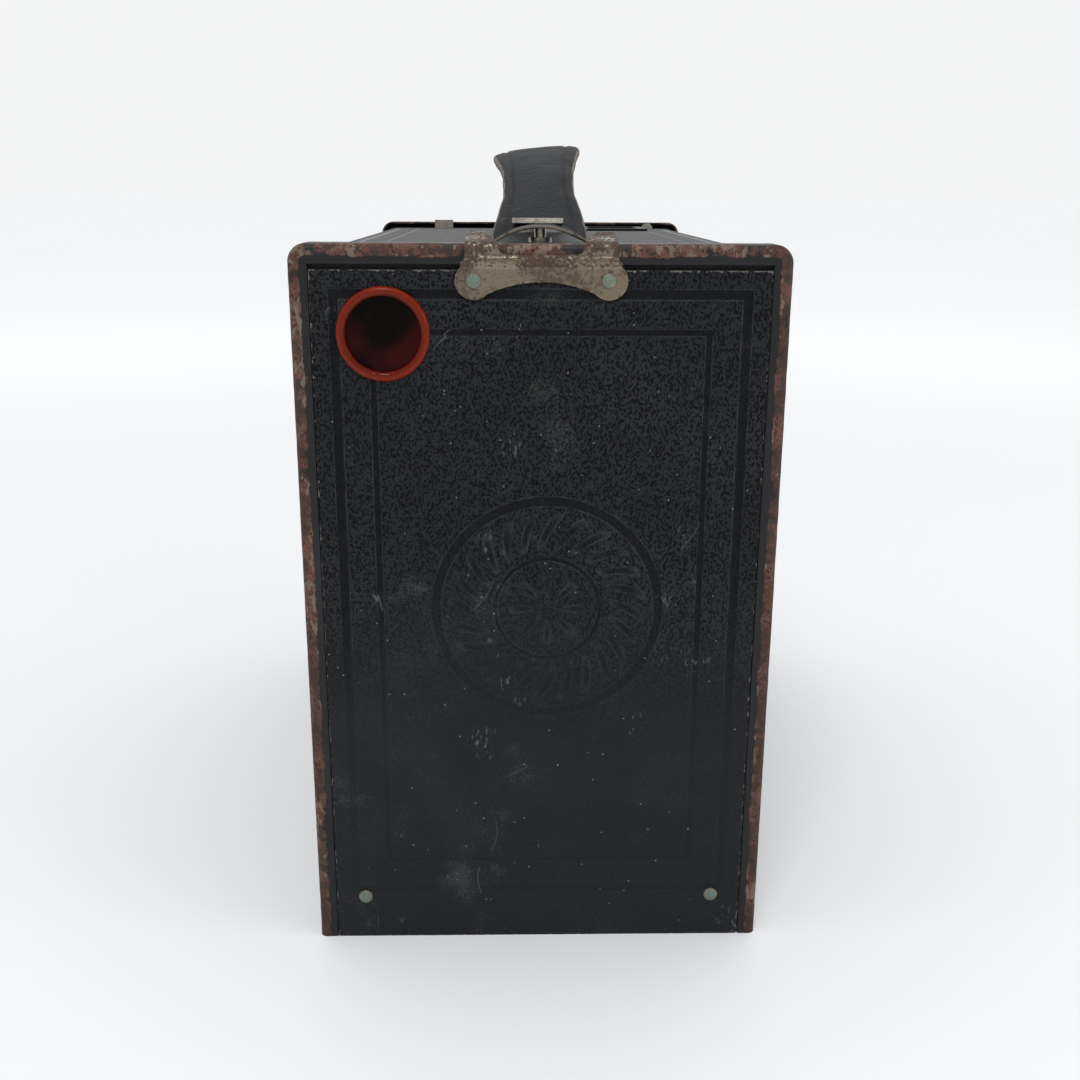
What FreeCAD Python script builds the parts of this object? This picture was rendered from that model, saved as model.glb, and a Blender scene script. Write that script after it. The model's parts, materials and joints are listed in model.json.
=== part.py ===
import FreeCAD, Part
import math
import os
import re
import Sketcher
from FreeCAD import Placement, Rotation, Vector

# Roll-film box camera for 6.5 x 11 cm negatives, in millimetres.
# +Z is up, the lens looks along +Y, the hinged back faces -Y and the winding key is on +X.
# The origin is the centre of the footprint, on the surface that the camera stands on.

SIZES = {
    # Pressed pans at both ends
    "pan_half": 41.5,
    "pan_top": 128.7,
    "pan_corner": 4.5,
    "half_depth": 75.8,
    "sheet": 0.6,
    "panel_recess": 0.5,
    "panel_half": 38.1,
    "panel_top": 124.5,
    "door_flange": 6.5,
    "front_flange": 4.0,
    # Board body and its covering
    "body_half": 40.0,
    "body_top": 127.1,
    "body_corner": 3.0,
    "skin": 0.5,
    "board": 2.5,
    "body_back": 73.0,
    "seam": 0.02,
    # Hinge along the bottom of the back
    "hinge_back": 73.4,
    "hinge_high": 3.4,
    "knuckle": 1.15,
    "pin": 0.78,
    "pin_play": 0.05,
    # Optics and shutter
    "lens_high": 63.55,
    "lens_hole": 7.0,
    "board_back": 57.0,
    "board_thick": 8.5,
    "disc_left": 12.0,
    "disc_radius": 19.5,
    "lever_right": 22.0,
    "lever_high": 45.0,
    "stop_pitch": 9.0,
    # Film path
    "spool_front": 20.0,
    "spool_rise": 44.0,
    "spool_half": 35.7,
    "flange_radius": 12.7,
    "roller_back": 66.0,
    "roller_rise": 56.05,
    "roller_radius": 3.0,
    "carrier_inside": 36.35,
    "gate_half": 31.5,
    "gate_rise": 52.5,
    "cone_front": 42.0,
    "cone_front_half": 11.0,
    "cone_wall": 1.2,
    # Finders
    "finder_half": 8.0,
    "finder_long": 20.0,
    "finder_deep": 22.0,
    "finder_back": 49.5,
    "top_finder_right": 21.5,
    "side_finder_high": 82.0,
    # Red window, latch and rivets in the back
    "window_right": -26.15,
    "window_high": 114.1,
    "window_radius": 7.8,
    "window_clear": 6.2,
    "latch_rivet_out": 11.1,
    "latch_rivet_high": 122.8,
    "hinge_rivet_out": 32.65,
    "hinge_rivet_high": 8.6,
    "latch_metal": 0.4,
    "arm_in": 7.2,
    "arm_out": 12.5,
    # Carrying strap
    "rear_post": -62.8,
    "front_post": 37.2,
    "strap_thick": 1.3,
    "strap_low": 130.95,
    "strap_rise": 14.0,
    "strap_crown": 40.0,
    "strap_over": 5.0,
    # Tripod sockets
    "socket_front": 50.0,
    "socket_bore": 2.6,
    "socket_long": 6.5,
}

# Places that several sub-parts share, as formulas in the sheet's words
DOOR_INSIDE = "panel_recess + sheet - half_depth"
FRONT_INSIDE = "half_depth - panel_recess - sheet"
INNER_HALF = "body_half - skin - board"
INNER_TOP = "body_top - skin - board"
PLATE_BACK = "board_back + board_thick"
PLATE_FRONT = "board_back + board_thick + 0.8"
TAKEUP_HIGH = "lens_high + spool_rise"
SUPPLY_HIGH = "lens_high - spool_rise"

doc = FreeCAD.newDocument("box_camera")
sheet = doc.addObject("Spreadsheet::Sheet", "Sizes")
for row, (word, value) in enumerate(SIZES.items(), start=1):
    sheet.set(f"A{row}", str(value))
    sheet.setAlias(f"A{row}", word)
doc.recompute()

ALONG = {
    "X": Rotation(Vector(0, 1, 0), 90),
    "Y": Rotation(Vector(1, 0, 0), -90),
    "Z": Rotation(),
}
PAD_REVERSED = {"XY_Plane": False, "XZ_Plane": True, "YZ_Plane": False}
PAD_AXIS = {"XY_Plane": "z", "XZ_Plane": "y", "YZ_Plane": "x"}


def formula(text):
    """Point each of the sheet's words in a formula at its cell."""
    return re.sub(r"[a-z]+(_[a-z]+)*", lambda word: f"Sizes.{word.group(0)}", str(text))


def create(kind, name):
    item = doc.addObject(kind, name)
    item.Label = name
    return item


def bind(item, **formulas):
    for name, text in formulas.items():
        item.setExpression(name, formula(text))


def place(item, x, y, z, rotation=Rotation()):
    item.Placement = Placement(Vector(), rotation)
    for axis, text in zip("xyz", (x, y, z)):
        item.setExpression(f"Placement.Base.{axis}", formula(text))
    return item


def block(name, x, y, z):
    """A box between a low and a high formula along each axis."""
    item = create("Part::Box", name)
    bind(
        item,
        Length=f"({x[1]}) - ({x[0]})",
        Width=f"({y[1]}) - ({y[0]})",
        Height=f"({z[1]}) - ({z[0]})",
    )
    return place(item, x[0], y[0], z[0])


def rod(name, axis, start, radius, length):
    """A cylinder from its start point along +X, +Y or +Z."""
    item = create("Part::Cylinder", name)
    bind(item, Radius=radius, Height=length)
    return place(item, *start, ALONG[axis])


def ball(name, centre, radius):
    item = create("Part::Sphere", name)
    bind(item, Radius=radius)
    return place(item, *centre)


def join(name, pieces):
    """Fuse pieces, or keep solids that don't touch as one group."""
    item = create("Part::MultiFuse", name)
    item.Shapes = pieces
    return item


def cut(name, base, tools):
    item = create("Part::Cut", name)
    item.Base = base
    item.Tool = tools[0] if len(tools) == 1 else join(f"{name}_openings", tools)
    return item


def common(name, first, second):
    item = create("Part::Common", name)
    item.Base = first
    item.Tool = second
    return item


def sketch(body, plane, corners):
    """A closed outline of straight sides, each corner bound to two formulas."""
    item = body.newObject("Sketcher::SketchObject", f"{body.Name}_outline")
    item.AttachmentSupport = [
        (next(face for face in body.Origin.OriginFeatures if face.Role == plane), "")
    ]
    item.MapMode = "FlatFace"
    turn = 2 * math.pi / len(corners)
    points = [Vector(math.cos(turn * i), math.sin(turn * i), 0) for i in range(len(corners))]
    for i, point in enumerate(points):
        item.addGeometry(Part.LineSegment(point, points[(i + 1) % len(points)]), False)
    for i in range(len(points)):
        item.addConstraint(Sketcher.Constraint("Coincident", i, 2, (i + 1) % len(points), 1))
    for i, corner in enumerate(corners):
        for axis, text in zip("XY", corner):
            number = item.addConstraint(Sketcher.Constraint(f"Distance{axis}", -1, 1, i, 1, 1.0))
            item.renameConstraint(number, f"{axis.lower()}{i}")
            item.setExpression(f"Constraints.{axis.lower()}{i}", formula(text))
    return item


def plate(name, plane, corners, low, thickness, radius=None, rounded=None):
    """A padded outline; the corners that rounded accepts get the radius."""
    body = create("PartDesign::Body", name)
    pad = body.newObject("PartDesign::Pad", f"{name}_pad")
    pad.Profile = sketch(body, plane, corners)
    pad.Reversed = PAD_REVERSED[plane]
    bind(pad, Length=thickness)
    axis = PAD_AXIS[plane]
    body.setExpression(f"Placement.Base.{axis}", formula(low))
    if radius:
        doc.recompute()
        edges = [
            f"Edge{number}"
            for number, edge in enumerate(pad.Shape.Edges, start=1)
            if abs(getattr(edge.tangentAt(edge.FirstParameter), axis)) > 0.9
            and (rounded is None or rounded(edge.CenterOfMass))
        ]
        fillet = body.newObject("PartDesign::Fillet", f"{name}_corners")
        fillet.Base = (pad, edges)
        bind(fillet, Radius=radius)
    return body


def box_outline(x, z):
    return [(x[0], z[0]), (x[1], z[0]), (x[1], z[1]), (x[0], z[1])]


def turned(name, profile, axis, start):
    """A profile of (radius, distance) corners revolved about an axis through start."""
    body = create("PartDesign::Body", name)
    revolution = body.newObject("PartDesign::Revolution", f"{name}_turning")
    outline = sketch(body, "XZ_Plane", profile)
    revolution.Profile = outline
    revolution.ReferenceAxis = (outline, ["V_Axis"])
    revolution.Angle = 360
    return place(body, *start, ALONG[axis])


def upper(point):
    return point.z > 60


def pair(text):
    """The low and high formulas of a span that is centred on zero."""
    return f"-({text})", text


def about(centre, half):
    return f"{centre} - ({half})", f"{centre} + ({half})"


def wall_openings():
    """What is cut through both the board body and its covering."""
    window_y = ("finder_back + 0.8", "finder_back + finder_long - 0.8")
    return [
        block(
            "hinge_room",
            pair("50"),
            ("-80", "4.5 - hinge_back"),
            ("-1", "hinge_high + 0.6"),
        ),
        block(
            "top_finder_window",
            about("top_finder_right", "finder_half - 0.8"),
            window_y,
            ("body_top - 4", "body_top + 1"),
        ),
        block(
            "side_finder_window",
            ("body_half - 4", "body_half + 1"),
            window_y,
            about("side_finder_high", "finder_half - 0.8"),
        ),
        block("stop_slot", ("-27", "-21"), ("67.4", "70"), ("body_top - 4", "body_top + 1")),
        block("time_slot", ("30.3", "34.3"), ("69", "70.4"), ("body_top - 4", "body_top + 1")),
        block("lever_slot", ("body_half - 4", "body_half + 1"), ("70", "71.6"), ("33", "48")),
        rod("key_hole", "X", ("body_half - 4", "spool_front", TAKEUP_HIGH), "2.85", "5"),
        rod("rear_post_hole", "Z", ("0", "rear_post", "body_top - 4"), "1.1", "5"),
        rod("front_post_hole", "Z", ("0", "front_post", "body_top - 4"), "1.1", "5"),
        rod("base_socket_hole", "Z", ("0", "socket_front", "-1"), "4.1", "5"),
        rod("side_socket_hole", "X", ("-1 - body_half", "socket_front", "lens_high"), "4.1", "5"),
    ]


def body_shell():
    """Four boards that butt together, and the thin covering round them, pieced along the same lines."""
    long = f"{FRONT_INSIDE} + body_back"
    seams = [
        block(
            f"seam_{side}_{level}",
            about(f"{sign} * ({INNER_HALF})", "seam / 2"),
            ("-80", "80"),
            about(high, "board + 1"),
        )
        for side, sign in (("left", -1), ("right", 1))
        for level, high in (("low", "0"), ("top", "body_top"))
    ]
    openings = join("wall_openings", wall_openings() + seams)

    def prism(name, inset, low, length, corner):
        across = pair(f"body_half - ({inset})")
        up = (inset, f"body_top - ({inset})")
        return plate(name, "XZ_Plane", box_outline(across, up), low, length, corner)

    def sleeve(name, outside, inside, outside_corner, inside_corner):
        outer = prism(f"{name}_outside", outside, "-body_back", long, outside_corner)
        inner = prism(f"{name}_inside", inside, "-1 - body_back", f"{long} + 2", inside_corner)
        return cut(name, outer, [inner, openings])

    return [
        sleeve("case_covering", "0", "skin", "body_corner", "body_corner - skin"),
        sleeve("case_box", "skin", "skin + board", "body_corner - skin", None),
    ]


def pan(name, rim_y, room_y, recess_y, openings):
    """A pressed pan: a recessed field in a raised rim, with flanges at the top and sides."""

    def layer(part, half, bottom, top, y, corner=None):
        outline = box_outline(pair(half), (bottom, top))
        length = f"({y[1]}) - ({y[0]})"
        return plate(f"{name}_{part}", "XZ_Plane", outline, y[0], length, corner, upper)

    outer = layer("outside", "pan_half", "0", "pan_top", rim_y, "pan_corner")
    room = layer("room", "pan_half - sheet", "-1", "pan_top - sheet", room_y, "pan_corner - sheet")
    recess = layer("recess", "panel_half + 0.1", "-1", "panel_top + 0.1", recess_y)
    return cut(name, outer, [room, recess] + openings)


def panel(name, low, openings):
    """The covering that fills a pan's recess."""
    thickness = (low, f"{low} + panel_recess")
    return cut(name, block(f"{name}_sheet", pair("panel_half"), thickness, ("0", "panel_top")), openings)


def front():
    """The front pan, its covering, the lens ring and what the light passes through."""
    finder_eye = "finder_deep / 2 + 1.5"
    openings = [
        rod("front_lens_hole", "Y", ("0", "half_depth - 3", "lens_high"), "lens_hole", "5"),
        rod("front_top_eye", "Y", ("top_finder_right", "half_depth - 3", f"body_top - ({finder_eye})"), "4.6", "5"),
        rod("front_side_eye", "Y", (f"body_half - ({finder_eye})", "half_depth - 3", "side_finder_high"), "4.6", "5"),
    ]
    ring = [("5.4", "-1.1"), ("6.9", "-1.1"), ("6.9", "0"), ("9", "0"), ("9", "0.5"), ("8.4", "0.9"), ("7.4", "0.9")]
    return [
        pan(
            "front_pan",
            ("half_depth - front_flange", "half_depth"),
            ("half_depth - front_flange - 1", FRONT_INSIDE),
            ("half_depth - panel_recess", "half_depth + 1"),
            openings,
        ),
        panel("front_covering", "half_depth - panel_recess", openings),
        turned("lens_ring", ring, "Y", ("0", "half_depth", "lens_high")),
    ]


def finder_notches(name):
    """Room for both finders in a board that they pass through."""
    return [
        block(
            f"{name}_top_notch",
            about("top_finder_right", "finder_half + 0.2"),
            ("50", "70"),
            ("body_top - finder_deep - 0.2", "body_top"),
        ),
        block(
            f"{name}_side_notch",
            ("body_half - finder_deep - 0.2", "body_half"),
            ("50", "70"),
            about("side_finder_high", "finder_half + 0.2"),
        ),
    ]


def screw_places():
    return [(x, z) for x in ("-30", "30") for z in ("30", "99")]


def shutter_board():
    """The wooden front board, the shutter plate screwed to it, the lens and the fixed studs."""
    bores = [
        rod(f"screw_hole_{i}", "Y", (x, "board_back", z), "1", "board_thick + 2")
        for i, (x, z) in enumerate(screw_places())
    ]
    lens_bore = rod("board_lens_hole", "Y", ("0", "board_back - 1", "lens_high"), "lens_hole", "12")
    wood = block(
        "front_board_blank",
        pair(f"{INNER_HALF} - 0.4"),
        ("board_back", PLATE_BACK),
        ("skin + board + 0.4", f"{INNER_TOP} - 0.4"),
    )
    metal = block("shutter_plate_blank", pair("36"), (PLATE_BACK, PLATE_FRONT), ("20", "122"))
    screw = [("0", "-7"), ("0.9", "-6"), ("0.9", "0"), ("1.8", "0"), ("1.6", "0.35"), ("0", "0.45")]
    screws = [
        turned(f"plate_screw_{i}", screw, "Y", (x, PLATE_FRONT, z))
        for i, (x, z) in enumerate(screw_places())
    ]
    disc_stud = [("0", "0"), ("1.5", "0"), ("1.5", "1.2"), ("2.4", "1.2"), ("2.4", "1.6"), ("0", "1.6")]
    lever_stud = [
        ("0", "0"), ("2.4", "0"), ("2.4", "4"), ("1.5", "4"),
        ("1.5", "5.1"), ("2.4", "5.1"), ("2.4", "5.6"), ("0", "5.6"),
    ]
    studs = [
        turned("disc_stud", disc_stud, "Y", ("-disc_left", PLATE_FRONT, "lens_high")),
        turned("lever_stud", lever_stud, "Y", ("lever_right", PLATE_FRONT, "lever_high")),
    ]
    glass = common(
        "lens_blank",
        rod("lens_edge", "Y", ("0", "60", "lens_high"), "lens_hole - 0.2", "3"),
        ball("lens_front_curve", ("0", "42.6", "lens_high"), "20"),
    )
    retainer = [("5.6", "0"), ("6.8", "0"), ("6.8", "1.4"), ("6.2", "1.4"), ("5.6", "0.8")]
    guides = [
        block(f"guide_{i}", x, (PLATE_FRONT, y), z)
        for i, (x, y, z) in enumerate([
            (("-8.8", "-6.8"), "69", ("86", "92")),
            (("6.8", "8.8"), "69", ("86", "92")),
            (("29.7", "30.5"), "70.2", ("105", "110")),
            (("34.1", "35.8"), "70.2", ("105", "110")),
        ])
    ]
    return [
        cut("front_board", wood, [lens_bore] + bores + finder_notches("board")),
        cut("shutter_plate", metal, [lens_bore] + bores + finder_notches("plate")),
        join("plate_screws", screws),
        join("shutter_studs", studs),
        cut("meniscus_lens", glass, [ball("lens_back_curve", ("0", "35", "lens_high"), "26.2")]),
        turned("lens_retainer", retainer, "Y", ("0", "62.8", "lens_high")),
        join("slide_guides", guides),
    ]


def shutter():
    """The rotary disc, the lever that throws it and the two slides."""
    disc = rod("disc_blank", "Y", ("-disc_left", f"{PLATE_FRONT} + 0.4", "lens_high"), "disc_radius", "0.6")
    slot_turn = math.radians(36)
    slot = rod(
        "disc_slot",
        "Y",
        (
            f"disc_left * {math.cos(slot_turn) - 1:.4f}",
            PLATE_FRONT,
            f"lens_high - disc_left * {math.sin(slot_turn):.4f}",
        ),
        "5.6",
        "2",
    )
    pivot = rod("disc_pivot", "Y", ("-disc_left", PLATE_FRONT, "lens_high"), "1.55", "2")
    lever_y = (f"{PLATE_FRONT} + 4.1", f"{PLATE_FRONT} + 4.9")
    lever = join(
        "lever_blank",
        [
            rod("lever_hub", "Y", ("lever_right", lever_y[0], "lever_high"), "3.2", "0.8"),
            block("lever_arm", ("10", "47"), lever_y, about("lever_high", "1.3")),
            block("lever_finger", ("43", "47.5"), (f"{lever_y[0]} - 1.6", lever_y[1]), about("lever_high", "1.6")),
        ],
    )
    bore = rod("lever_bore", "Y", ("lever_right", PLATE_FRONT, "lever_high"), "1.55", "8")
    stop_corners = [
        ("-6.4", "lens_high - 2 * stop_pitch - 6"),
        ("6.4", "lens_high - 2 * stop_pitch - 6"),
        ("6.4", "102"),
        ("-21.5", "102"),
        ("-21.5", "pan_top + 0.6"),
        ("-26.5", "pan_top + 0.6"),
        ("-26.5", "95"),
        ("-6.4", "95"),
    ]
    strip = plate("stop_strip", "XZ_Plane", stop_corners, "68", "0.6")
    lip = block("stop_lip", ("-26.5", "-21.5"), ("68", "69.6"), ("pan_top", "pan_top + 0.6"))
    stops = [
        rod(f"stop_{i}", "Y", ("0", "67", f"lens_high - {i} * stop_pitch"), radius, "3")
        for i, radius in enumerate(("3.6", "2.4", "1.6"))
    ]
    time = plate(
        "time_slide",
        "XZ_Plane",
        [
            ("30.8", "92"), ("33.8", "92"), ("33.8", "body_top + 0.6"),
            ("33", "body_top + 1.4"), ("31.6", "body_top + 1.4"), ("30.8", "body_top + 0.6"),
        ],
        "69.4",
        "0.6",
    )
    return [
        cut("shutter_disc", disc, [slot, pivot]),
        cut("shutter_lever", lever, [bore]),
        cut("aperture_slide", join("stop_slide_blank", [strip, lip]), stops),
        time,
    ]


def finder(name, start, turn):
    """A reflecting finder: box, front lens, mirror at 45 degrees, ground screen and bezel."""
    box = block(f"{name}_box", pair("finder_half"), ("0", "finder_long"), ("-finder_deep", "-3"))
    room = block(
        f"{name}_room",
        pair("finder_half - 0.8"),
        ("0.8", "finder_long - 0.8"),
        ("0.8 - finder_deep", "0"),
    )
    eye = rod(f"{name}_eye", "Y", ("0", "finder_long - 2", "-12.5"), "4.6", "3")
    lens_edge = rod(f"{name}_lens_edge", "Y", ("0", "finder_long - 1.6", "-12.5"), "4.4", "3")
    mirror = plate(
        f"{name}_mirror_glass",
        "YZ_Plane",
        [("1.2", "-4.4"), ("17.2", "-20.4"), ("17.8", "-19.8"), ("1.8", "-3.8")],
        "1.1 - finder_half",
        "2 * finder_half - 2.2",
    )
    sheet_y = ("-0.8", "finder_long + 0.8")
    bezel = block(f"{name}_bezel_sheet", pair("finder_half + 0.8"), sheet_y, ("0", "0.6"))
    view = block(f"{name}_view", pair("finder_half - 1.6"), ("1.6", "finder_long - 1.6"), ("-1", "2"))
    made = {
        "body": cut(f"{name}_shell", box, [room, eye]),
        "lens": common(f"{name}_glass", lens_edge, ball(f"{name}_curve", ("0", "finder_long - 11.6", "-12.5"), "12")),
        "mirror": mirror,
        "screen": block(f"{name}_ground_glass", pair("finder_half - 1"), ("1", "finder_long - 1"), ("-2.6", "-1.6")),
        "bezel": cut(f"{name}_frame", bezel, [view]),
    }
    pieces = []
    for part, item in made.items():
        seated = create("Part::Compound", f"{name}_{part}")
        seated.Links = [item]
        pieces.append(place(seated, *start, turn))
    return pieces


def strap_post(name, y):
    """A riveted stud whose T-shaped head holds the strap's slot."""
    return join(
        name,
        [
            rod(f"{name}_foot", "Z", ("0", y, "body_top"), "2", "2.2"),
            rod(f"{name}_shank", "Z", ("0", y, "body_top - 4.4"), "1", "9.5"),
            rod(f"{name}_clinch", "Z", ("0", y, f"{INNER_TOP} - 0.6"), "3", "0.6"),
            block(f"{name}_bar", ("-4.8", "3.9"), about(y, "1.5"), ("strap_low + 0.75", "strap_low + 1.55")),
        ],
    )


def strap():
    """The strap bows up between its posts on two tangent arcs each side."""
    rise, crown, thick = SIZES["strap_rise"], SIZES["strap_crown"], SIZES["strap_thick"]
    rear, ahead = SIZES["rear_post"], SIZES["front_post"]
    low, over = SIZES["strap_low"], SIZES["strap_over"]
    middle = (rear + ahead) / 2
    half = (ahead - rear) / 2
    bend = 2 * math.atan(rise / half)
    foot = half / math.sin(bend) - crown

    def side(offset):
        """Edges of the bowed line at a height above its middle line, from rear to front."""
        crown_radius, foot_radius = crown + offset, foot - offset
        top = Vector(0, middle, low + rise - crown)
        edges = []

        def on_crown(angle):
            return top + Vector(0, crown_radius * math.sin(angle), crown_radius * math.cos(angle))

        def on_foot(sign, angle):
            centre = Vector(0, middle + sign * half, low + foot)
            return centre + Vector(0, -sign * foot_radius * math.sin(angle), -foot_radius * math.cos(angle))

        edges.append(Part.LineSegment(Vector(0, rear - over, low + offset), on_foot(-1, 0)))
        edges.append(Part.Arc(on_foot(-1, 0), on_foot(-1, bend / 2), on_foot(-1, bend)))
        edges.append(Part.Arc(on_crown(-bend), on_crown(0), on_crown(bend)))
        edges.append(Part.Arc(on_foot(1, bend), on_foot(1, bend / 2), on_foot(1, 0)))
        edges.append(Part.LineSegment(on_foot(1, 0), Vector(0, ahead + over, low + offset)))
        return [edge.toShape() for edge in edges]

    upper_side, lower_side = side(thick / 2), side(-thick / 2)
    ends = [
        Part.makeLine(Vector(0, y, low - thick / 2), Vector(0, y, low + thick / 2))
        for y in (rear - over, ahead + over)
    ]
    wire = Part.Wire(Part.__sortEdges__(upper_side + lower_side + ends))
    bow = Part.Face(wire).extrude(Vector(20, 0, 0))
    bow.translate(Vector(-10, 0, 0))

    quarter = half / 2
    widths = [
        (rear - over, 7.7),
        (rear + quarter * 0.8, 6.2),
        (middle - quarter * 0.6, 8.2),
        (middle + quarter * 0.6, 8.2),
        (ahead - quarter * 0.8, 6.2),
        (ahead + over, 7.7),
    ]

    def edge_line(sign):
        line = Part.BSplineCurve()
        line.interpolate([Vector(sign * wide, y, 0) for y, wide in widths])
        return line.toShape()

    plan_ends = [
        Part.makeLine(Vector(-wide, y, 0), Vector(wide, y, 0)) for y, wide in (widths[0], widths[-1])
    ]
    plan = Part.Wire(Part.__sortEdges__([edge_line(-1), plan_ends[1], edge_line(1), plan_ends[0]]))
    blank = Part.Face(plan).extrude(Vector(0, 0, 200))
    shape = bow.common(blank)
    for y in (rear, ahead):
        shape = shape.cut(Part.makeCylinder(1.2, 10, Vector(0, y, low - 5)))
    item = create("Part::Feature", "carry_strap")
    item.Shape = shape.Solids[0]
    item.Placement = Placement()
    return item


def carrying():
    return [strap_post("strap_post_rear", "rear_post"), strap_post("strap_post_front", "front_post"), strap()]


def sockets():
    """Tripod sockets in the base and in the left side, with flanges inside the walls."""
    profile = [
        ("socket_bore", "0"),
        ("4", "0"),
        ("4", "skin + board"),
        ("5.5", "skin + board"),
        ("5.5", "skin + board + 0.9"),
        ("4", "skin + board + 0.9"),
        ("4", "socket_long"),
        ("socket_bore", "socket_long"),
    ]
    return [
        turned("tripod_socket_base", profile, "Z", ("0", "socket_front", "0")),
        turned("tripod_socket_side", profile, "X", ("-body_half", "socket_front", "lens_high")),
    ]


def key_places():
    return "spool_front", TAKEUP_HIGH


def winding():
    """The key, the bush in the wall that it turns in and the spring washer that it is pulled by."""
    y, z = key_places()
    bush = [("2.08", "-3"), ("2.75", "-3"), ("2.75", "0"), ("4.6", "0"), ("4.6", "0.7"), ("4", "1.2"), ("2.08", "1.2")]
    washer = [("2.1", "0"), ("3.6", "0"), ("3.6", "0.4"), ("3.2", "0.7"), ("2.1", "0.7")]
    wing = plate(
        "key_wing",
        "XZ_Plane",
        [
            ("45", f"{z} - 2.4"), ("47", f"{z} - 2.4"), ("49", f"{z} - 8.6"), ("54", f"{z} - 8.6"),
            ("54", f"{z} + 8.6"), ("49", f"{z} + 8.6"), ("47", f"{z} + 2.4"), ("45", f"{z} + 2.4"),
        ],
        f"{y} - 0.6",
        "1.2",
        "1",
    )
    shaft = rod("key_shaft", "X", ("36", y, z), "2", "10.5")
    blade = block("key_blade", ("33.7", "36.4"), about(y, "0.5"), about(z, "1.7"))
    return [
        turned("key_bush", bush, "X", ("body_half", y, z)),
        turned("key_washer", washer, "X", ("body_half + 1.6", y, z)),
        join("winding_key", [wing, shaft, blade]),
    ]


def spool(name, z, driven):
    """A wooden core with a metal flange at each end, bored for its pins or slotted for the key."""
    core = rod(f"{name}_core", "X", ("-spool_half", "spool_front", z), "4.5", "2 * spool_half")
    flanges = [
        rod(f"{name}_flange_{side}", "X", (start, "spool_front", z), "flange_radius", "0.5")
        for side, start in (("left", "-spool_half"), ("right", "spool_half - 0.5"))
    ]
    left_bore = rod(f"{name}_left_bore", "X", ("-1 - spool_half", "spool_front", z), "2", "3")
    right_bore = rod(f"{name}_right_bore", "X", ("spool_half - 2", "spool_front", z), "2", "3")
    slot = block(
        f"{name}_slot",
        ("spool_half - 2.4", "spool_half + 1"),
        about("spool_front", "0.8"),
        about(z, "2.1"),
    )
    film_slit = block(f"{name}_slit", pair("31"), about("spool_front", "0.5"), (f"{z} - 5", f"{z} + 5"))
    tools = [left_bore, film_slit, slot if driven else right_bore]
    return cut(name, join(f"{name}_turned", [core] + flanges), tools)


def roller(name, z):
    start = ("-35.95", "-roller_back", z)
    stub = ("-36.75", "-roller_back", z)
    return join(
        name,
        [
            rod(f"{name}_tube", "X", start, "roller_radius", "2 * 35.95"),
            rod(f"{name}_axle", "X", stub, "1", "2 * 36.75"),
        ],
    )


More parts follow.
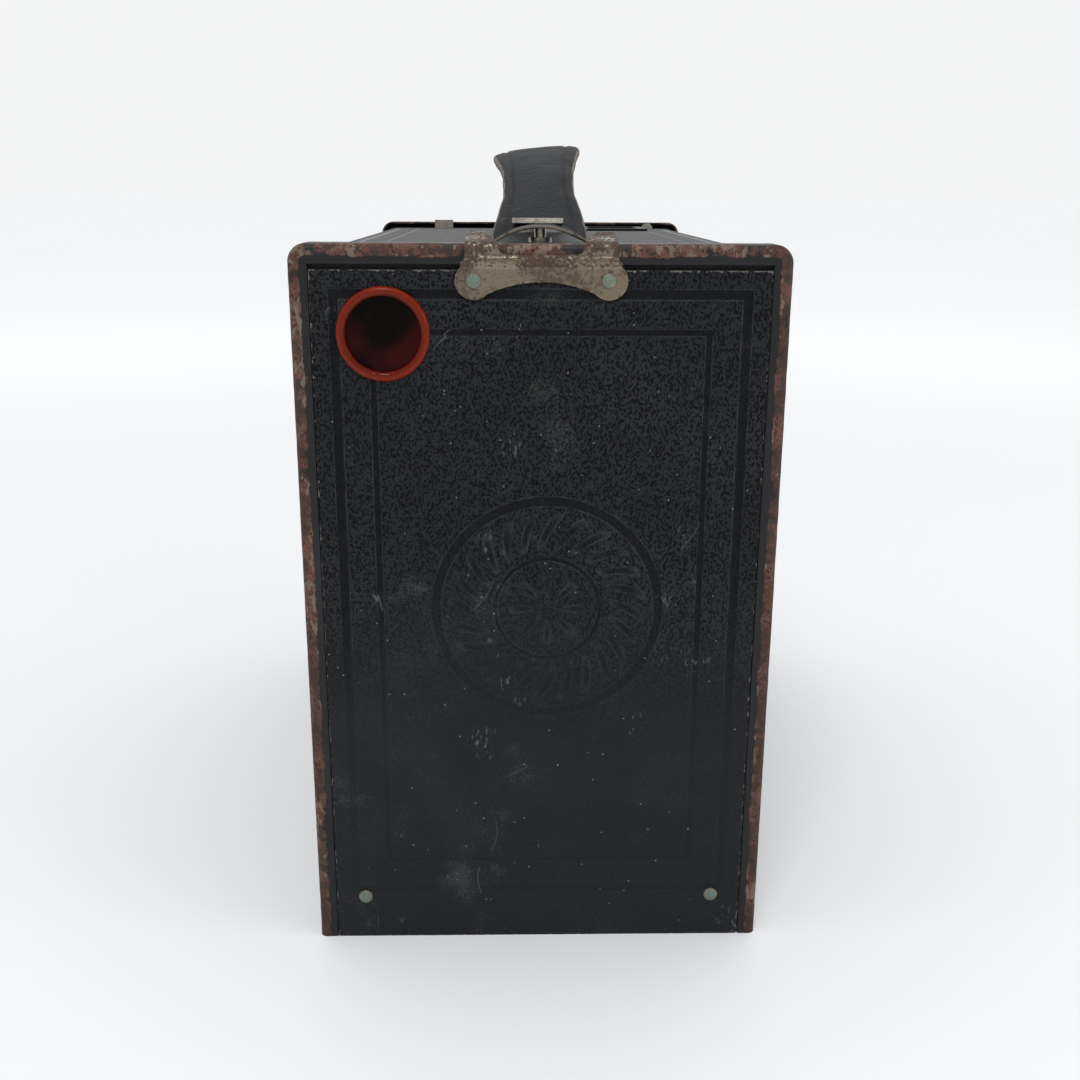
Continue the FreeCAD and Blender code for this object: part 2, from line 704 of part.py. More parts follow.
def carrier():
    """The film carrier: side plates, gate, light-tight cone and front plate."""
    top_roller = "lens_high + roller_rise"
    low_roller = "lens_high - roller_rise"
    up = ("skin + board + 1.2", f"{INNER_TOP} - 1")

    def side(name, x, openings):
        sheet_of_it = block(f"{name}_sheet", x, ("-72", "cone_front + 1"), up)
        bores = [
            rod(f"{name}_{label}_bore", "X", (f"{x[0]} - 1", "-roller_back", z), "1.05", "3")
            for label, z in (("top", top_roller), ("low", low_roller))
        ]
        return cut(name, sheet_of_it, bores + openings)

    def frustum(name, rear, front, reach):
        """A block that tapers from its (x, z) spans at the gate to those at the front plate."""
        item = create("Part::Wedge", name)
        spans = zip(("X", "Z", "X2", "Z2"), (*rear, *front))
        limits = {f"{axis}{end}": text for axis, span in spans for end, text in zip(("min", "max"), span)}
        bind(item, **limits, Ymin=f"-69.1 - {reach}", Ymax=f"cone_front + {reach}")
        return place(item, "0", "0", "lens_high")

    def cone():
        """Four tapering sheets that meet along the corners of the cone."""
        outside = frustum(
            "cone_outside",
            (pair("gate_half"), pair("gate_rise")),
            (pair("cone_front_half"), pair("cone_front_half")),
            "0",
        )
        inside = frustum(
            "cone_inside",
            (pair("gate_half - cone_wall"), pair("gate_rise - cone_wall")),
            (pair("cone_front_half - cone_wall"), pair("cone_front_half - cone_wall")),
            "0.01",
        )
        seams = [
            frustum(
                f"cone_seam_{side}",
                (about(f"{sign} * (gate_half - cone_wall)", "seam / 2"), pair("gate_rise + 1")),
                (about(f"{sign} * (cone_front_half - cone_wall)", "seam / 2"), pair("cone_front_half + 1")),
                "0.01",
            )
            for side, sign in (("left", -1), ("right", 1))
        ]
        return cut("carrier_cone", outside, [inside, *seams])

    key_bore = rod("carrier_key_bore", "X", ("carrier_inside - 1", *key_places()), "2.2", "3")
    gate = block("gate_sheet", pair("carrier_inside - 0.05"), ("-69.9", "-69.1"), about("lens_high", "gate_rise - 0.1"))
    frame = block("gate_frame", pair("gate_half - 1"), ("-71", "-68"), about("lens_high", "gate_rise - 1"))
    wall = block("carrier_front_sheet", pair("carrier_inside - 0.05"), ("cone_front", "cone_front + 1"), up)
    view = rod("carrier_front_view", "Y", ("0", "cone_front - 1", "lens_high"), "9", "3")
    spring_legs = []
    for label, z in (("top", TAKEUP_HIGH), ("low", SUPPLY_HIGH)):
        spring_legs.append(
            plate(
                f"film_spring_{label}",
                "XY_Plane",
                [
                    ("-22", "cone_front"), ("-16", "34.2"), ("16", "34.2"), ("22", "cone_front"),
                    ("21.5", "cone_front"), ("15.8", "34.6"), ("-15.8", "34.6"), ("-21.5", "cone_front"),
                ],
                f"{z} - 5",
                "10",
            )
        )
    pins = [
        rod(f"pin_{i}", "X", (start, "spool_front", z), "1.9", "2")
        for i, (start, z) in enumerate([
            ("-carrier_inside", TAKEUP_HIGH),
            ("-carrier_inside", SUPPLY_HIGH),
            ("carrier_inside - 2", SUPPLY_HIGH),
        ])
    ]
    return [
        side("carrier_side_left", ("-0.5 - carrier_inside", "-carrier_inside"), []),
        side("carrier_side_right", ("carrier_inside", "carrier_inside + 0.5"), [key_bore]),
        cut("film_gate", gate, [frame]),
        cone(),
        cut("carrier_front", wall, [view]),
        join("film_springs", spring_legs),
        join("spool_pins", pins),
        roller("top_roller", top_roller),
        roller("bottom_roller", low_roller),
    ]


def rivet_places(out, high):
    return [(f"-{out}", high), (out, high)]


def rivets(name, out, high, front, length):
    """Two domed rivets through the back, clinched inside."""
    profile = [
        ("0", "-0.6"), ("0.55", "-0.52"), ("1", "-0.32"), ("1.35", "0"), ("0.7", "0"),
        ("0.7", length), ("1.2", length), ("1", f"{length} + 0.35"), ("0", f"{length} + 0.4"),
    ]
    return join(
        name,
        [
            turned(f"{name}_{i}", profile, "Y", (x, front, z))
            for i, (x, z) in enumerate(rivet_places(out, high))
        ],
    )


def back():
    """The hinged back with its covering, red window, light seal, hinge and latch."""
    y = "-1 - half_depth"
    latch_bores = [
        rod(f"latch_bore_{i}", "Y", (x, y, z), "0.75", "4")
        for i, (x, z) in enumerate(rivet_places("latch_rivet_out", "latch_rivet_high"))
    ]
    hinge_bores = [
        rod(f"hinge_bore_{i}", "Y", (x, y, z), "0.75", "4")
        for i, (x, z) in enumerate(rivet_places("hinge_rivet_out", "hinge_rivet_high"))
    ]
    window = ("window_right", y, "window_high")
    window_seat = rod("window_seat", "Y", window, "window_radius - 0.8", "1 + panel_recess")
    window_hole = rod("window_hole", "Y", window, "window_clear + 0.2", "4")
    door = pan(
        "door_pan",
        ("-half_depth", "door_flange - half_depth"),
        (DOOR_INSIDE, "door_flange - half_depth + 1"),
        (y, "panel_recess - half_depth"),
        latch_bores + hinge_bores + [window_hole],
    )
    covering = panel("door_covering", "-half_depth", latch_bores + hinge_bores + [window_seat])
    ring = [
        ("window_clear", "0.5"),
        ("window_radius - 0.9", "0.5"),
        ("window_radius - 0.9", "0"),
        ("window_radius", "0"),
        ("window_radius - 0.2", "-0.5"),
        ("window_radius - 0.8", "-0.8"),
        ("window_clear + 0.2", "-0.5"),
        ("window_clear", "0"),
    ]
    seal_y = (f"{DOOR_INSIDE} + 0.1", "-0.15 - body_back")
    seal = cut(
        "door_seal",
        block("seal_sheet", pair("body_half - 1"), seal_y, ("12.6", "body_top - 1")),
        [
            block("seal_opening", pair("35.2"), ("-80", "-70"), ("0", "122.2")),
            *[
                rod(f"seal_rivet_room_{i}", "Y", (x, "-80", z), "1.7", "10")
                for i, (x, z) in enumerate(rivet_places("latch_rivet_out", "latch_rivet_high"))
            ],
        ],
    )
    return [
        door,
        covering,
        turned("window_ring", ring, "Y", ("window_right", "-half_depth", "window_high")),
        rod("window_disc", "Y", ("window_right", "panel_recess - half_depth", "window_high"), "window_clear + 0.1", "0.5"),
        seal,
        rivets("door_rivets", "hinge_rivet_out", "hinge_rivet_high", "-half_depth", "1.5"),
        *hinge(),
        *latch(latch_bores),
    ]


def hinge():
    """A pin through one long knuckle of the body's leaf and two of the back's leaf."""
    start = ("-12", "-hinge_back", "hinge_high")
    body_leaf = join(
        "body_leaf_blank",
        [
            block("body_leaf_sheet", pair("36"), ("-72", "-58"), ("hinge_high - 0.4", "hinge_high")),
            block("body_leaf_tongue", pair("12"), ("-hinge_back", "-71"), ("hinge_high - 0.4", "hinge_high")),
            rod("body_knuckle", "X", start, "knuckle", "24"),
        ],
    )
    door_sheet = (DOOR_INSIDE, f"{DOOR_INSIDE} + 0.4")
    parts = [block("door_leaf_sheet", pair("36"), door_sheet, ("hinge_high + 1.8", "12"))]
    for label, low in (("left", "-24"), ("right", "12.3")):
        parts.append(
            block(f"door_leaf_{label}_web", (low, f"{low} + 11.7"), door_sheet, ("hinge_high", "hinge_high + 2"))
        )
        parts.append(
            rod(f"door_{label}_knuckle", "X", (low, "-hinge_back", "hinge_high"), "knuckle", "11.7")
        )
    pin_start = ("-24.5", "-hinge_back", "hinge_high")
    loose_bore = rod("loose_pin_bore", "X", ("-30", "-hinge_back", "hinge_high"), "pin + pin_play", "60")
    tight_bore = rod("tight_pin_bore", "X", ("-30", "-hinge_back", "hinge_high"), "pin", "60")
    rivet_bores = [
        rod(f"leaf_bore_{i}", "Y", (x, "-80", z), "0.75", "10")
        for i, (x, z) in enumerate(rivet_places("hinge_rivet_out", "hinge_rivet_high"))
    ]
    return [
        cut("door_hinge_leaf", join("door_leaf_blank", parts), [loose_bore] + rivet_bores),
        cut("case_hinge_leaf", body_leaf, [tight_bore]),
        rod("hinge_pin", "X", pin_start, "pin", "49"),
    ]


def latch(bores):
    """A spring plate riveted to the back, and two arms from it that press over the lugs on top."""
    outside = "-half_depth - latch_metal"
    corners = [
        ("-arm_out", "body_top - 0.1"),
        ("-arm_out - 1.2", "124.4"),
        ("-8.6", "121.6"),
        ("-5", "122.3"),
        ("0", "122.6"),
        ("5", "122.3"),
        ("8.6", "121.6"),
        ("arm_out + 1.2", "124.4"),
        ("arm_out", "body_top - 0.1"),
    ]
    lobes = [
        rod(f"lobe_{i}", "Y", (x, outside, z), "3.1", "latch_metal")
        for i, (x, z) in enumerate(rivet_places("latch_rivet_out", "latch_rivet_high"))
    ]
    sheet_of_it = plate("latch_sheet", "XZ_Plane", corners, outside, "latch_metal")
    back_face = "-half_depth - 0.1 - latch_metal"
    profile = [
        (back_face, "body_top"),
        ("-half_depth - 0.1", "body_top"),
        ("-half_depth - 0.1", "pan_top + 0.1"),
        ("-72", "pan_top + 0.1"),
        ("-65.8", "pan_top + 1.3"),
        ("-65.8", "pan_top + 1.7"),
        ("-72.1", "pan_top + 0.5"),
        (back_face, "pan_top + 0.5"),
    ]
    arms = [
        plate(f"latch_arm_{side}", "YZ_Plane", profile, low, "arm_out - arm_in")
        for side, low in (("left", "-arm_out"), ("right", "arm_in"))
    ]
    strap_room = block("arm_tip_room", pair("arm_in + 2"), ("-69.5", "-60"), ("body_top", "pan_top + 6"))
    lugs = [
        block(f"lug_{side}", (low, f"{low} + 2.4"), ("-69", "-66.6"), ("body_top", "pan_top + 0.4"))
        for side, low in (("left", "-12.2"), ("right", "9.8"))
    ]
    return [
        cut("latch_plate", join("latch_plate_blank", [sheet_of_it] + lobes), bores),
        rivets("latch_rivets", "latch_rivet_out", "latch_rivet_high", outside, "1.5"),
        cut("latch_arms", join("latch_arms_blank", arms), [strap_room]),
        join("latch_lugs", lugs),
    ]


def main():
    top = (("top_finder_right", "finder_back", "body_top"), Rotation())
    side = (("body_half", "finder_back", "side_finder_high"), Rotation(Vector(0, 1, 0), 90))
    sub_parts = [
        *body_shell(),
        *front(),
        *shutter_board(),
        *shutter(),
        *finder("top_finder", *top),
        *finder("side_finder", *side),
        *carrying(),
        *sockets(),
        *winding(),
        *carrier(),
        spool("takeup_spool", TAKEUP_HIGH, True),
        spool("supply_spool", SUPPLY_HIGH, False),
        *back(),
    ]
    doc.recompute()
    failed = [item.Label for item in doc.Objects if {"Invalid", "Error"} & set(item.State)]
    bad = [item.Label for item in sub_parts if item.Shape.isNull() or not item.Shape.isValid()]
    if failed or bad:
        raise ValueError(f"failed objects {failed}, bad shapes {bad}")
    os.makedirs("parts", exist_ok=True)
    for item in sub_parts:
        item.Shape.exportStep(f"parts/{item.Label}.step")


main()
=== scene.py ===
"""A leather-covered roll-film box camera seen from its hinged back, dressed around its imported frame."""

import json
import logging
import math
from collections.abc import Iterable, Iterator, Sequence
from contextlib import contextmanager
from dataclasses import dataclass
from enum import Enum

import bmesh
import bpy
import numpy as np
from mathutils import Matrix, Vector, noise


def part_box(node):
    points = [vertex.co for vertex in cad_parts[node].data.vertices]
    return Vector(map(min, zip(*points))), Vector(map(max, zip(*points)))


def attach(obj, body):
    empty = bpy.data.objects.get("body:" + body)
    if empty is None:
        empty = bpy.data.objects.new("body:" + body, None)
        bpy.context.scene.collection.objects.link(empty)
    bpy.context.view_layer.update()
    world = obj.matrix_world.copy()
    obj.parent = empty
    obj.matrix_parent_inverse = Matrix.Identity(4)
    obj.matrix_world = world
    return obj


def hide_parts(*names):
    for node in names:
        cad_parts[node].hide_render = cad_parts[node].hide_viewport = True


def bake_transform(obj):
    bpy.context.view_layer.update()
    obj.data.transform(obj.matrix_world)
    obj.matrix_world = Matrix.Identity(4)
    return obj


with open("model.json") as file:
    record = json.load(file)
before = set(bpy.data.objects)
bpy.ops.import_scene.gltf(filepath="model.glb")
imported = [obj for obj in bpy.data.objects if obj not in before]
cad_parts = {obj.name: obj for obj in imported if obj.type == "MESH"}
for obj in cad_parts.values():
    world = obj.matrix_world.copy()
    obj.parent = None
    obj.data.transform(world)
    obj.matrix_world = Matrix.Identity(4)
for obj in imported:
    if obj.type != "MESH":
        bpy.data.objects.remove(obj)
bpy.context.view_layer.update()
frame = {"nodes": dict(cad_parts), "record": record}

LOG = logging.getLogger("box_camera")
MM = 0.001
SEED = 1
Colour = tuple[float, float, float]
Number = "Wire | float"


# ---------------------------------------------------------------- shader sheets


@dataclass(frozen=True)
class Wire:
    """One output socket, on which arithmetic adds Math nodes."""

    sheet: "Sheet"
    socket: bpy.types.NodeSocket

    def _math(self, operation: str, *values: Number) -> "Wire":
        """Add one Math node.

        Args:
            operation: the Math node's operation.
            *values: its inputs, in order.

        Returns:
            The node's result.
        """
        node = self.sheet.add("ShaderNodeMath", {"operation": operation}, dict(enumerate(values)))
        return self.sheet.out(node)

    def __add__(self, other: Number) -> "Wire":
        """Sum."""
        return self._math("ADD", self, other)

    __radd__ = __add__

    def __sub__(self, other: Number) -> "Wire":
        """Difference."""
        return self._math("SUBTRACT", self, other)

    def __rsub__(self, other: Number) -> "Wire":
        """Difference, reflected."""
        return self._math("SUBTRACT", other, self)

    def __mul__(self, other: Number) -> "Wire":
        """Product."""
        return self._math("MULTIPLY", self, other)

    __rmul__ = __mul__

    def most(self, other: Number) -> "Wire":
        """The larger of two values."""
        return self._math("MAXIMUM", self, other)

    def least(self, other: Number) -> "Wire":
        """The smaller of two values."""
        return self._math("MINIMUM", self, other)

    def ramp(self, low: float, high: float) -> "Wire":
        """A smooth step from 0 at low to 1 at high.

        Args:
            low: where the step starts.
            high: where it ends; below low, the step falls instead.

        Returns:
            The stepped value.
        """
        limits = {0: self, 1: low, 2: high, 3: 0.0, 4: 1.0}
        if high < low:
            limits = {0: self, 1: high, 2: low, 3: 1.0, 4: 0.0}
        node = self.sheet.add("ShaderNodeMapRange", {"interpolation_type": "SMOOTHSTEP"}, limits)
        return self.sheet.out(node)


class Sheet:
    """A tree of nodes, empty at the start."""

    def __init__(self, tree: bpy.types.NodeTree) -> None:
        """Take a tree over.

        Args:
            tree: the tree, whose nodes are thrown away.
        """
        self.tree = tree
        tree.nodes.clear()

    def add(self, kind: str, settings: dict, inputs: dict) -> bpy.types.Node:
        """Add a node, set it up, then feed its sockets.

        Args:
            kind: the node's type name.
            settings: its properties.
            inputs: values or wires by socket name or number.

        Returns:
            The node.
        """
        node = self.tree.nodes.new(kind)
        for key, value in settings.items():
            setattr(node, key, value)
        for key, value in inputs.items():
            self.feed(node, key, value)
        return node

    def feed(self, node: bpy.types.Node, key: str | int, value: object) -> None:
        """Link a wire to a socket, or set the socket's own value.

        Args:
            node: the node.
            key: the socket's name or number.
            value: a wire, a number, a vector or a colour.
        """
        socket = node.inputs[key]
        if isinstance(value, Wire):
            self.tree.links.new(value.socket, socket)
        elif socket.type == "RGBA":
            socket.default_value = (*value, 1.0)
        else:
            socket.default_value = value

    def out(self, node: bpy.types.Node, key: str | int = 0) -> Wire:
        """One of a node's outputs as a wire."""
        return Wire(self, node.outputs[key])


class Recipe(Sheet):
    """The nodes of one material, with a Principled shader at their end."""

    def __init__(self, name: str) -> None:
        """Start a material.

        Args:
            name: the material's name.
        """
        self.material = bpy.data.materials.new(name)
        self.material.use_nodes = True
        super().__init__(self.material.node_tree)
        self.shader = self.add("ShaderNodeBsdfPrincipled", {}, {})
        self.add("ShaderNodeOutputMaterial", {}, {"Surface": self.out(self.shader)})
        self.place = self.out(self.add("ShaderNodeTexCoord", {}, {}), "Object")

    def finish(self, **inputs: object) -> bpy.types.Material:
        """Feed the Principled shader's sockets, with underscores for spaces in their names.

        Args:
            **inputs: values or wires by socket.

        Returns:
            The material.
        """
        for key, value in inputs.items():
            self.feed(self.shader, key.replace("_", " "), value)
        return self.material

    def stretched(self, along: Sequence[float]) -> Wire:
        """Places scaled by a factor along each axis."""
        inputs = {0: self.place, 1: tuple(along)}
        return self.out(self.add("ShaderNodeVectorMath", {"operation": "MULTIPLY"}, inputs))

    def noise(self, size: float, detail: float = 3.0, stretch: Sequence[float] = (1, 1, 1)) -> Wire:
        """Soft noise from 0 to 1.

        Args:
            size: the size of its blotches, in metres.
            detail: how many finer layers it has.
            stretch: a factor along each axis.

        Returns:
            The noise.
        """
        inputs = {"Vector": self.stretched(stretch), "Scale": 1 / size, "Detail": detail}
        return self.out(self.add("ShaderNodeTexNoise", {}, inputs))

    def cells(self, size: float, feature: str = "F1", jitter: float = 1.0, warp: float = 0.0) -> Wire:
        """Distance to the middle, or to the edge, of scattered cells.

        Args:
            size: the cells' size, in metres.
            feature: the Voronoi node's feature.
            jitter: how irregular the cells are.
            warp: how far noise pulls their edges about, in metres.

        Returns:
            The distance, in cell sizes.
        """
        place = self.place
        if warp:
            inputs = {"Vector": place, "Scale": 1 / (2 * size), "Detail": 2.0}
            pull = self.add("ShaderNodeTexNoise", {}, inputs)
            moved = self.add(
                "ShaderNodeVectorMath",
                {"operation": "MULTIPLY_ADD"},
                {0: self.out(pull, "Color"), 1: (warp, warp, warp), 2: place},
            )
            place = self.out(moved)
        inputs = {"Vector": place, "Scale": 1 / size, "Randomness": jitter}
        node = self.add("ShaderNodeTexVoronoi", {"feature": feature}, inputs)
        return self.out(node, "Distance")

    def specks(self, size: float, share: float, radius: float = 0.2) -> Wire:
        """Scattered round specks: 1 inside one, 0 outside.

        Args:
            size: the spacing of the places where a speck may be.
            share: how many of them hold one.
            radius: a speck's radius, in spacings.

        Returns:
            The mask.
        """
        inputs = {"Vector": self.place, "Scale": 1 / size, "Randomness": 1.0}
        node = self.add("ShaderNodeTexVoronoi", {}, inputs)
        lot = self.add("ShaderNodeSeparateColor", {}, {0: self.out(node, "Color")})
        chosen = self.out(lot, 0).ramp(1 - share, 1 - share + 0.01)
        size_of_it = self.out(lot, 1) * radius
        return chosen * (size_of_it - self.out(node, "Distance")).ramp(0.0, 0.04)

    def attribute(self, name: str) -> Wire:
        """A value that the mesh holds at its points."""
        return self.out(self.add("ShaderNodeAttribute", {"attribute_name": name}, {}), "Fac")

    def mix(self, factor: Number, first: "Wire | Colour", second: "Wire | Colour") -> Wire:
        """Blend two colours.

        Args:
            factor: 0 gives the first, 1 the second.
            first: a colour or a wire.
            second: a colour or a wire.

        Returns:
            The blend.
        """
        node = self.add("ShaderNodeMix", {"data_type": "RGBA"}, {0: factor, 6: first, 7: second})
        return self.out(node, 2)

    def bump(self, height: Wire, depth: float, strength: float = 1.0, under: Wire | None = None) -> Wire:
        """A normal from a height.

        Args:
            height: the height, from 0 to 1.
            depth: what 1 stands for, in metres.
            strength: how much of it shows.
            under: a normal that it adds to.

        Returns:
            The normal.
        """
        inputs = {"Height": height, "Distance": depth, "Strength": strength}
        if under is not None:
            inputs["Normal"] = under
        return self.out(self.add("ShaderNodeBump", {}, inputs))


class Finish:
    """A finish, which makes its material once."""

    _made: dict[str, bpy.types.Material] = {}
    name: str

    def mixed(self, recipe: Recipe) -> bpy.types.Material:
        """Fill a recipe. Each finish has its own."""
        raise NotImplementedError

    def material(self) -> bpy.types.Material:
        """The finish's material, made at the first call."""
        if self.name not in self._made:
            self._made[self.name] = self.mixed(Recipe(self.name))
        return self._made[self.name]


@dataclass(frozen=True)
class Leatherette(Finish):
    """Blue-black covering, pitted all over, with dust, pale specks and scuffs."""

    name: str
    ground: Colour = (0.0142, 0.0155, 0.0180)
    # The pit colour is painted shade, put into the pits.
    pit: Colour = (0.0014, 0.0016, 0.0022)
    pressed: Colour = (0.0040, 0.0045, 0.0060)
    # The pale colour of the pressed lines' sloping walls: a painted highlight, partly also rubbed edges.
    lip_highlight: Colour = (0.050, 0.054, 0.058)
    rubbed: Colour = (0.030, 0.033, 0.037)
    dust: Colour = (0.38, 0.385, 0.37)
    frayed: Colour = (0.20, 0.185, 0.15)
    pit_size: float = 0.43 * MM
    pit_deep: float = 0.17 * MM
    gloss: float = 0.13
    foot_wear: float = 0.0
    foot: tuple[float, float] = (78 * MM, 38 * MM)

    def mixed(self, recipe: Recipe) -> bpy.types.Material:
        """Pits painted dark as shade in a dull ground, worn away towards the foot, then dust, specks and
        scuffs.

        Args:
            recipe: the empty material.

        Returns:
            The finished material.
        """
        pores = recipe.noise(0.22 * MM, 3.0)
        up = recipe.out(recipe.add("ShaderNodeSeparateXYZ", {}, {0: recipe.place}), 2)
        worn = (up + (recipe.noise(30 * MM, 3.0) - 0.5) * 0.03).ramp(*self.foot) * self.foot_wear
        # Pits: painted shade, dark where the shade in the pits would fall.
        pits = recipe.noise(self.pit_size, 1.0, (1.15, 1.0, 0.82)).ramp(0.50, 0.41)
        ground = 1.0 - pits * (1.0 - worn)
        line = recipe.attribute("pressed")
        flat = line * (1.0 - worn)
        rubbed = (recipe.noise(17 * MM, 3.0) + (pores - 0.5) * 1.1).ramp(0.40, 0.95) * ground
        bloom = (recipe.noise(9 * MM, 6.0) + (pores - 0.5) * 0.5).ramp(0.64, 0.80)
        specks = recipe.specks(1.7 * MM, 0.055, 0.21) + recipe.specks(0.9 * MM, 0.035, 0.22) * 0.5
        specks = specks.least(1.0)
        grit = recipe.specks(1.1 * MM, 0.06, 0.15) * 0.22
        scuff = recipe.noise(12 * MM, 2.0).ramp(0.66, 0.74)
        scuff = scuff * recipe.noise(0.5 * MM, 5.0, (1, 1, 0.4)).ramp(0.56, 0.64)
        scratch = recipe.noise(24 * MM, 1.0, (1, 1, 0.7)) - 0.505
        hair = scratch.ramp(0.0, 0.0014) * scratch.ramp(0.0030, 0.0014)
        hair = hair * recipe.noise(9 * MM, 1.0).ramp(0.64, 0.67)
        edge = recipe.attribute("wear")
        frayed = (edge + (recipe.noise(0.8 * MM, 6.0) - 0.5) * 1.7).ramp(0.70, 0.92)
        # Painted shade: the pits take the dark pit colour.
        base = recipe.mix(ground, self.pit, self.ground)
        base = recipe.mix(rubbed * 0.6, base, self.rubbed)
        # The pressed lines take the pressed colour; where it is pale, as on the body's covering, it is a
        # painted highlight.
        base = recipe.mix(flat, base, self.pressed)
        # The sloping walls of the pressed lines are painted pale: a painted highlight, partly also their
        # rubbed edges, fading towards the foot.
        lips = line.ramp(0.05, 0.25) * line.ramp(0.70, 0.40)
        lips = lips * (recipe.noise(3 * MM, 5.0).ramp(0.35, 0.65) + 0.3)
        base = recipe.mix((lips * (1.0 - worn) * 0.42).least(1.0), base, self.lip_highlight)
        base = recipe.mix(bloom * 0.07, base, self.dust)
        base = recipe.mix((scuff * 0.22 + hair * 0.22 + grit).least(1.0), base, self.dust)
        base = recipe.mix(specks * 0.85, base, self.dust)
        base = recipe.mix(frayed * 0.8, base, self.frayed)
        normal = recipe.bump(pores * 0.35 + ground, self.pit_deep, 0.9)
        return recipe.finish(
            Base_Color=base,
            Roughness=0.44 + pores * 0.20 - flat * 0.10 + bloom * 0.2,
            Normal=recipe.bump(specks, 0.05 * MM, 0.5, normal),
            Specular_IOR_Level=self.gloss,
        )


@dataclass(frozen=True)
class WornEnamel(Finish):
    """Black enamel on tinplate, rubbed to brown rust and pale metal along its edges."""

    name: str
    enamel: Colour = (0.0085, 0.0085, 0.0095)
    primer: Colour = (0.046, 0.026, 0.020)
    rust: Colour = (0.150, 0.066, 0.045)
    metal: Colour = (0.24, 0.20, 0.155)
    faded: Colour = (0.045, 0.047, 0.05)
    grime: Colour = (0.012, 0.008, 0.007)
    dull_metal: Colour = (0.16, 0.12, 0.09)
    wear: float = 1.0

    def mixed(self, recipe: Recipe) -> bpy.types.Material:
        """Layers in the order that they wear through.

        Args:
            recipe: the empty material.

        Returns:
            The finished material.
        """
        edge = recipe.attribute("wear")
        broad = recipe.noise(7 * MM, 6.0)
        grit = recipe.noise(0.55 * MM, 6.0)
        mottle = recipe.noise(1.9 * MM, 8.0)
        flakes = recipe.noise(1.0 * MM, 8.0, (1, 1, 0.5))
        bare = (edge * self.wear + (broad - 0.5) * 1.1 + (mottle - 0.5) * 1.3).ramp(0.52, 0.72)
        rusty = (mottle + (grit - 0.5) * 0.6 + (broad - 0.5) * 0.5).ramp(0.44, 0.64)
        border = edge.ramp(0.30, 0.60) * edge.ramp(1.05, 0.75)
        chipped = bare * (flakes + border * 0.20 + (broad - 0.5) * 0.40).ramp(0.77, 0.80)
        base = recipe.mix(recipe.noise(14 * MM, 5.0).ramp(0.5, 0.8) * 0.2, self.enamel, self.faded)
        base = recipe.mix(bare, base, recipe.mix(rusty, self.primer, self.rust))
        base = recipe.mix(bare * (grit + mottle).ramp(1.04, 1.22) * 0.8, base, self.grime)
        base = recipe.mix(chipped * 0.8, base, recipe.mix(grit, self.metal, self.dull_metal))
        normal = recipe.bump(1.0 - bare * 0.6 - chipped * 0.3, 0.06 * MM, 0.8)
        return recipe.finish(
            Base_Color=base,
            Roughness=0.32 + bare * 0.28 + grit * 0.14,
            Metallic=chipped * 0.5,
            Normal=recipe.bump(grit, 0.07 * MM, 0.6, normal),
            Specular_IOR_Level=0.28,
        )


@dataclass(frozen=True)
class TarnishedNickel(Finish):
    """Plated metal gone dull, with brown rust speckles."""

    name: str
    plate: Colour = (0.50, 0.46, 0.40)
    dull: Colour = (0.27, 0.235, 0.195)
    rust: Colour = (0.085, 0.042, 0.026)
    crust: Colour = (0.03, 0.018, 0.013)
    rusting: float = 1.0

    def mixed(self, recipe: Recipe) -> bpy.types.Material:
        """Plate, dull patches, then speckles and creeping rust.

        Args:
            recipe: the empty material.

        Returns:
            The finished material.
        """
        broad = recipe.noise(5 * MM, 6.0)
        grit = recipe.noise(0.55 * MM, 5.0)
        edge = recipe.attribute("wear")
        dull = (broad + (grit - 0.5) * 0.5).ramp(0.36, 0.66)
        creep = (broad + (grit - 0.5) * 1.0 + edge * 0.30).ramp(0.60, 0.76)
        pits = recipe.noise(0.42 * MM, 7.0).ramp(0.56, 0.66)
        spots = recipe.specks(1.0 * MM, 0.35, 0.30)
        rusty = (creep * 0.75 + pits * 0.55) * (edge * 0.8 + 0.25) + spots * 0.5
        rusty = (rusty * self.rusting).least(1.0)
        base = recipe.mix(dull * 0.75, self.plate, self.dull)
        base = recipe.mix(rusty * 0.9, base, recipe.mix(grit, self.rust, self.crust))
        normal = recipe.bump(1.0 - rusty * 0.6 - grit * 0.25, 0.06 * MM, 0.8)
        return recipe.finish(
            Base_Color=base,
            Roughness=0.27 + dull * 0.16 + rusty * 0.4,
            Metallic=1.0 - rusty * 0.85,
            Normal=normal,
        )


@dataclass(frozen=True)
class AgedBrass(Finish):
    """Brass browned by age, green where verdigris has grown."""

    name: str
    brass: Colour = (0.50, 0.36, 0.16)
    brown: Colour = (0.20, 0.12, 0.06)
    green: Colour = (0.075, 0.105, 0.082)
    pale_green: Colour = (0.20, 0.26, 0.21)
    verdigris: float = -0.05

    def mixed(self, recipe: Recipe) -> bpy.types.Material:
        """Brass under brown tarnish and green bloom; browner at the rivet heads' edges, partly tarnish and
        partly painted shade.

        Args:
            recipe: the empty material.

        Returns:
            The finished material.
        """
        broad = recipe.noise(3 * MM, 5.0)
        grit = recipe.noise(0.4 * MM, 5.0)
        bloom = (broad + (grit - 0.5) * 0.4 + self.verdigris).ramp(0.60, 0.82)
        # Browner where the wear values are high, which only the rivet heads carry, towards their edges:
        # partly tarnish, partly painted shade round each head.
        rim = recipe.attribute("wear").ramp(0.62, 0.85)
        base = recipe.mix((broad.ramp(0.3, 0.7) + rim).least(1.0), self.brass, self.brown)
        bloom = bloom * (1.0 - rim * 0.75)
        base = recipe.mix(bloom, base, recipe.mix(grit, self.green, self.pale_green))
        return recipe.finish(
            Base_Color=base,
            Roughness=0.32 + bloom * 0.4,
            Metallic=1.0 - bloom * 0.8,
            Normal=recipe.bump(grit, 0.04 * MM, 0.6),
        )


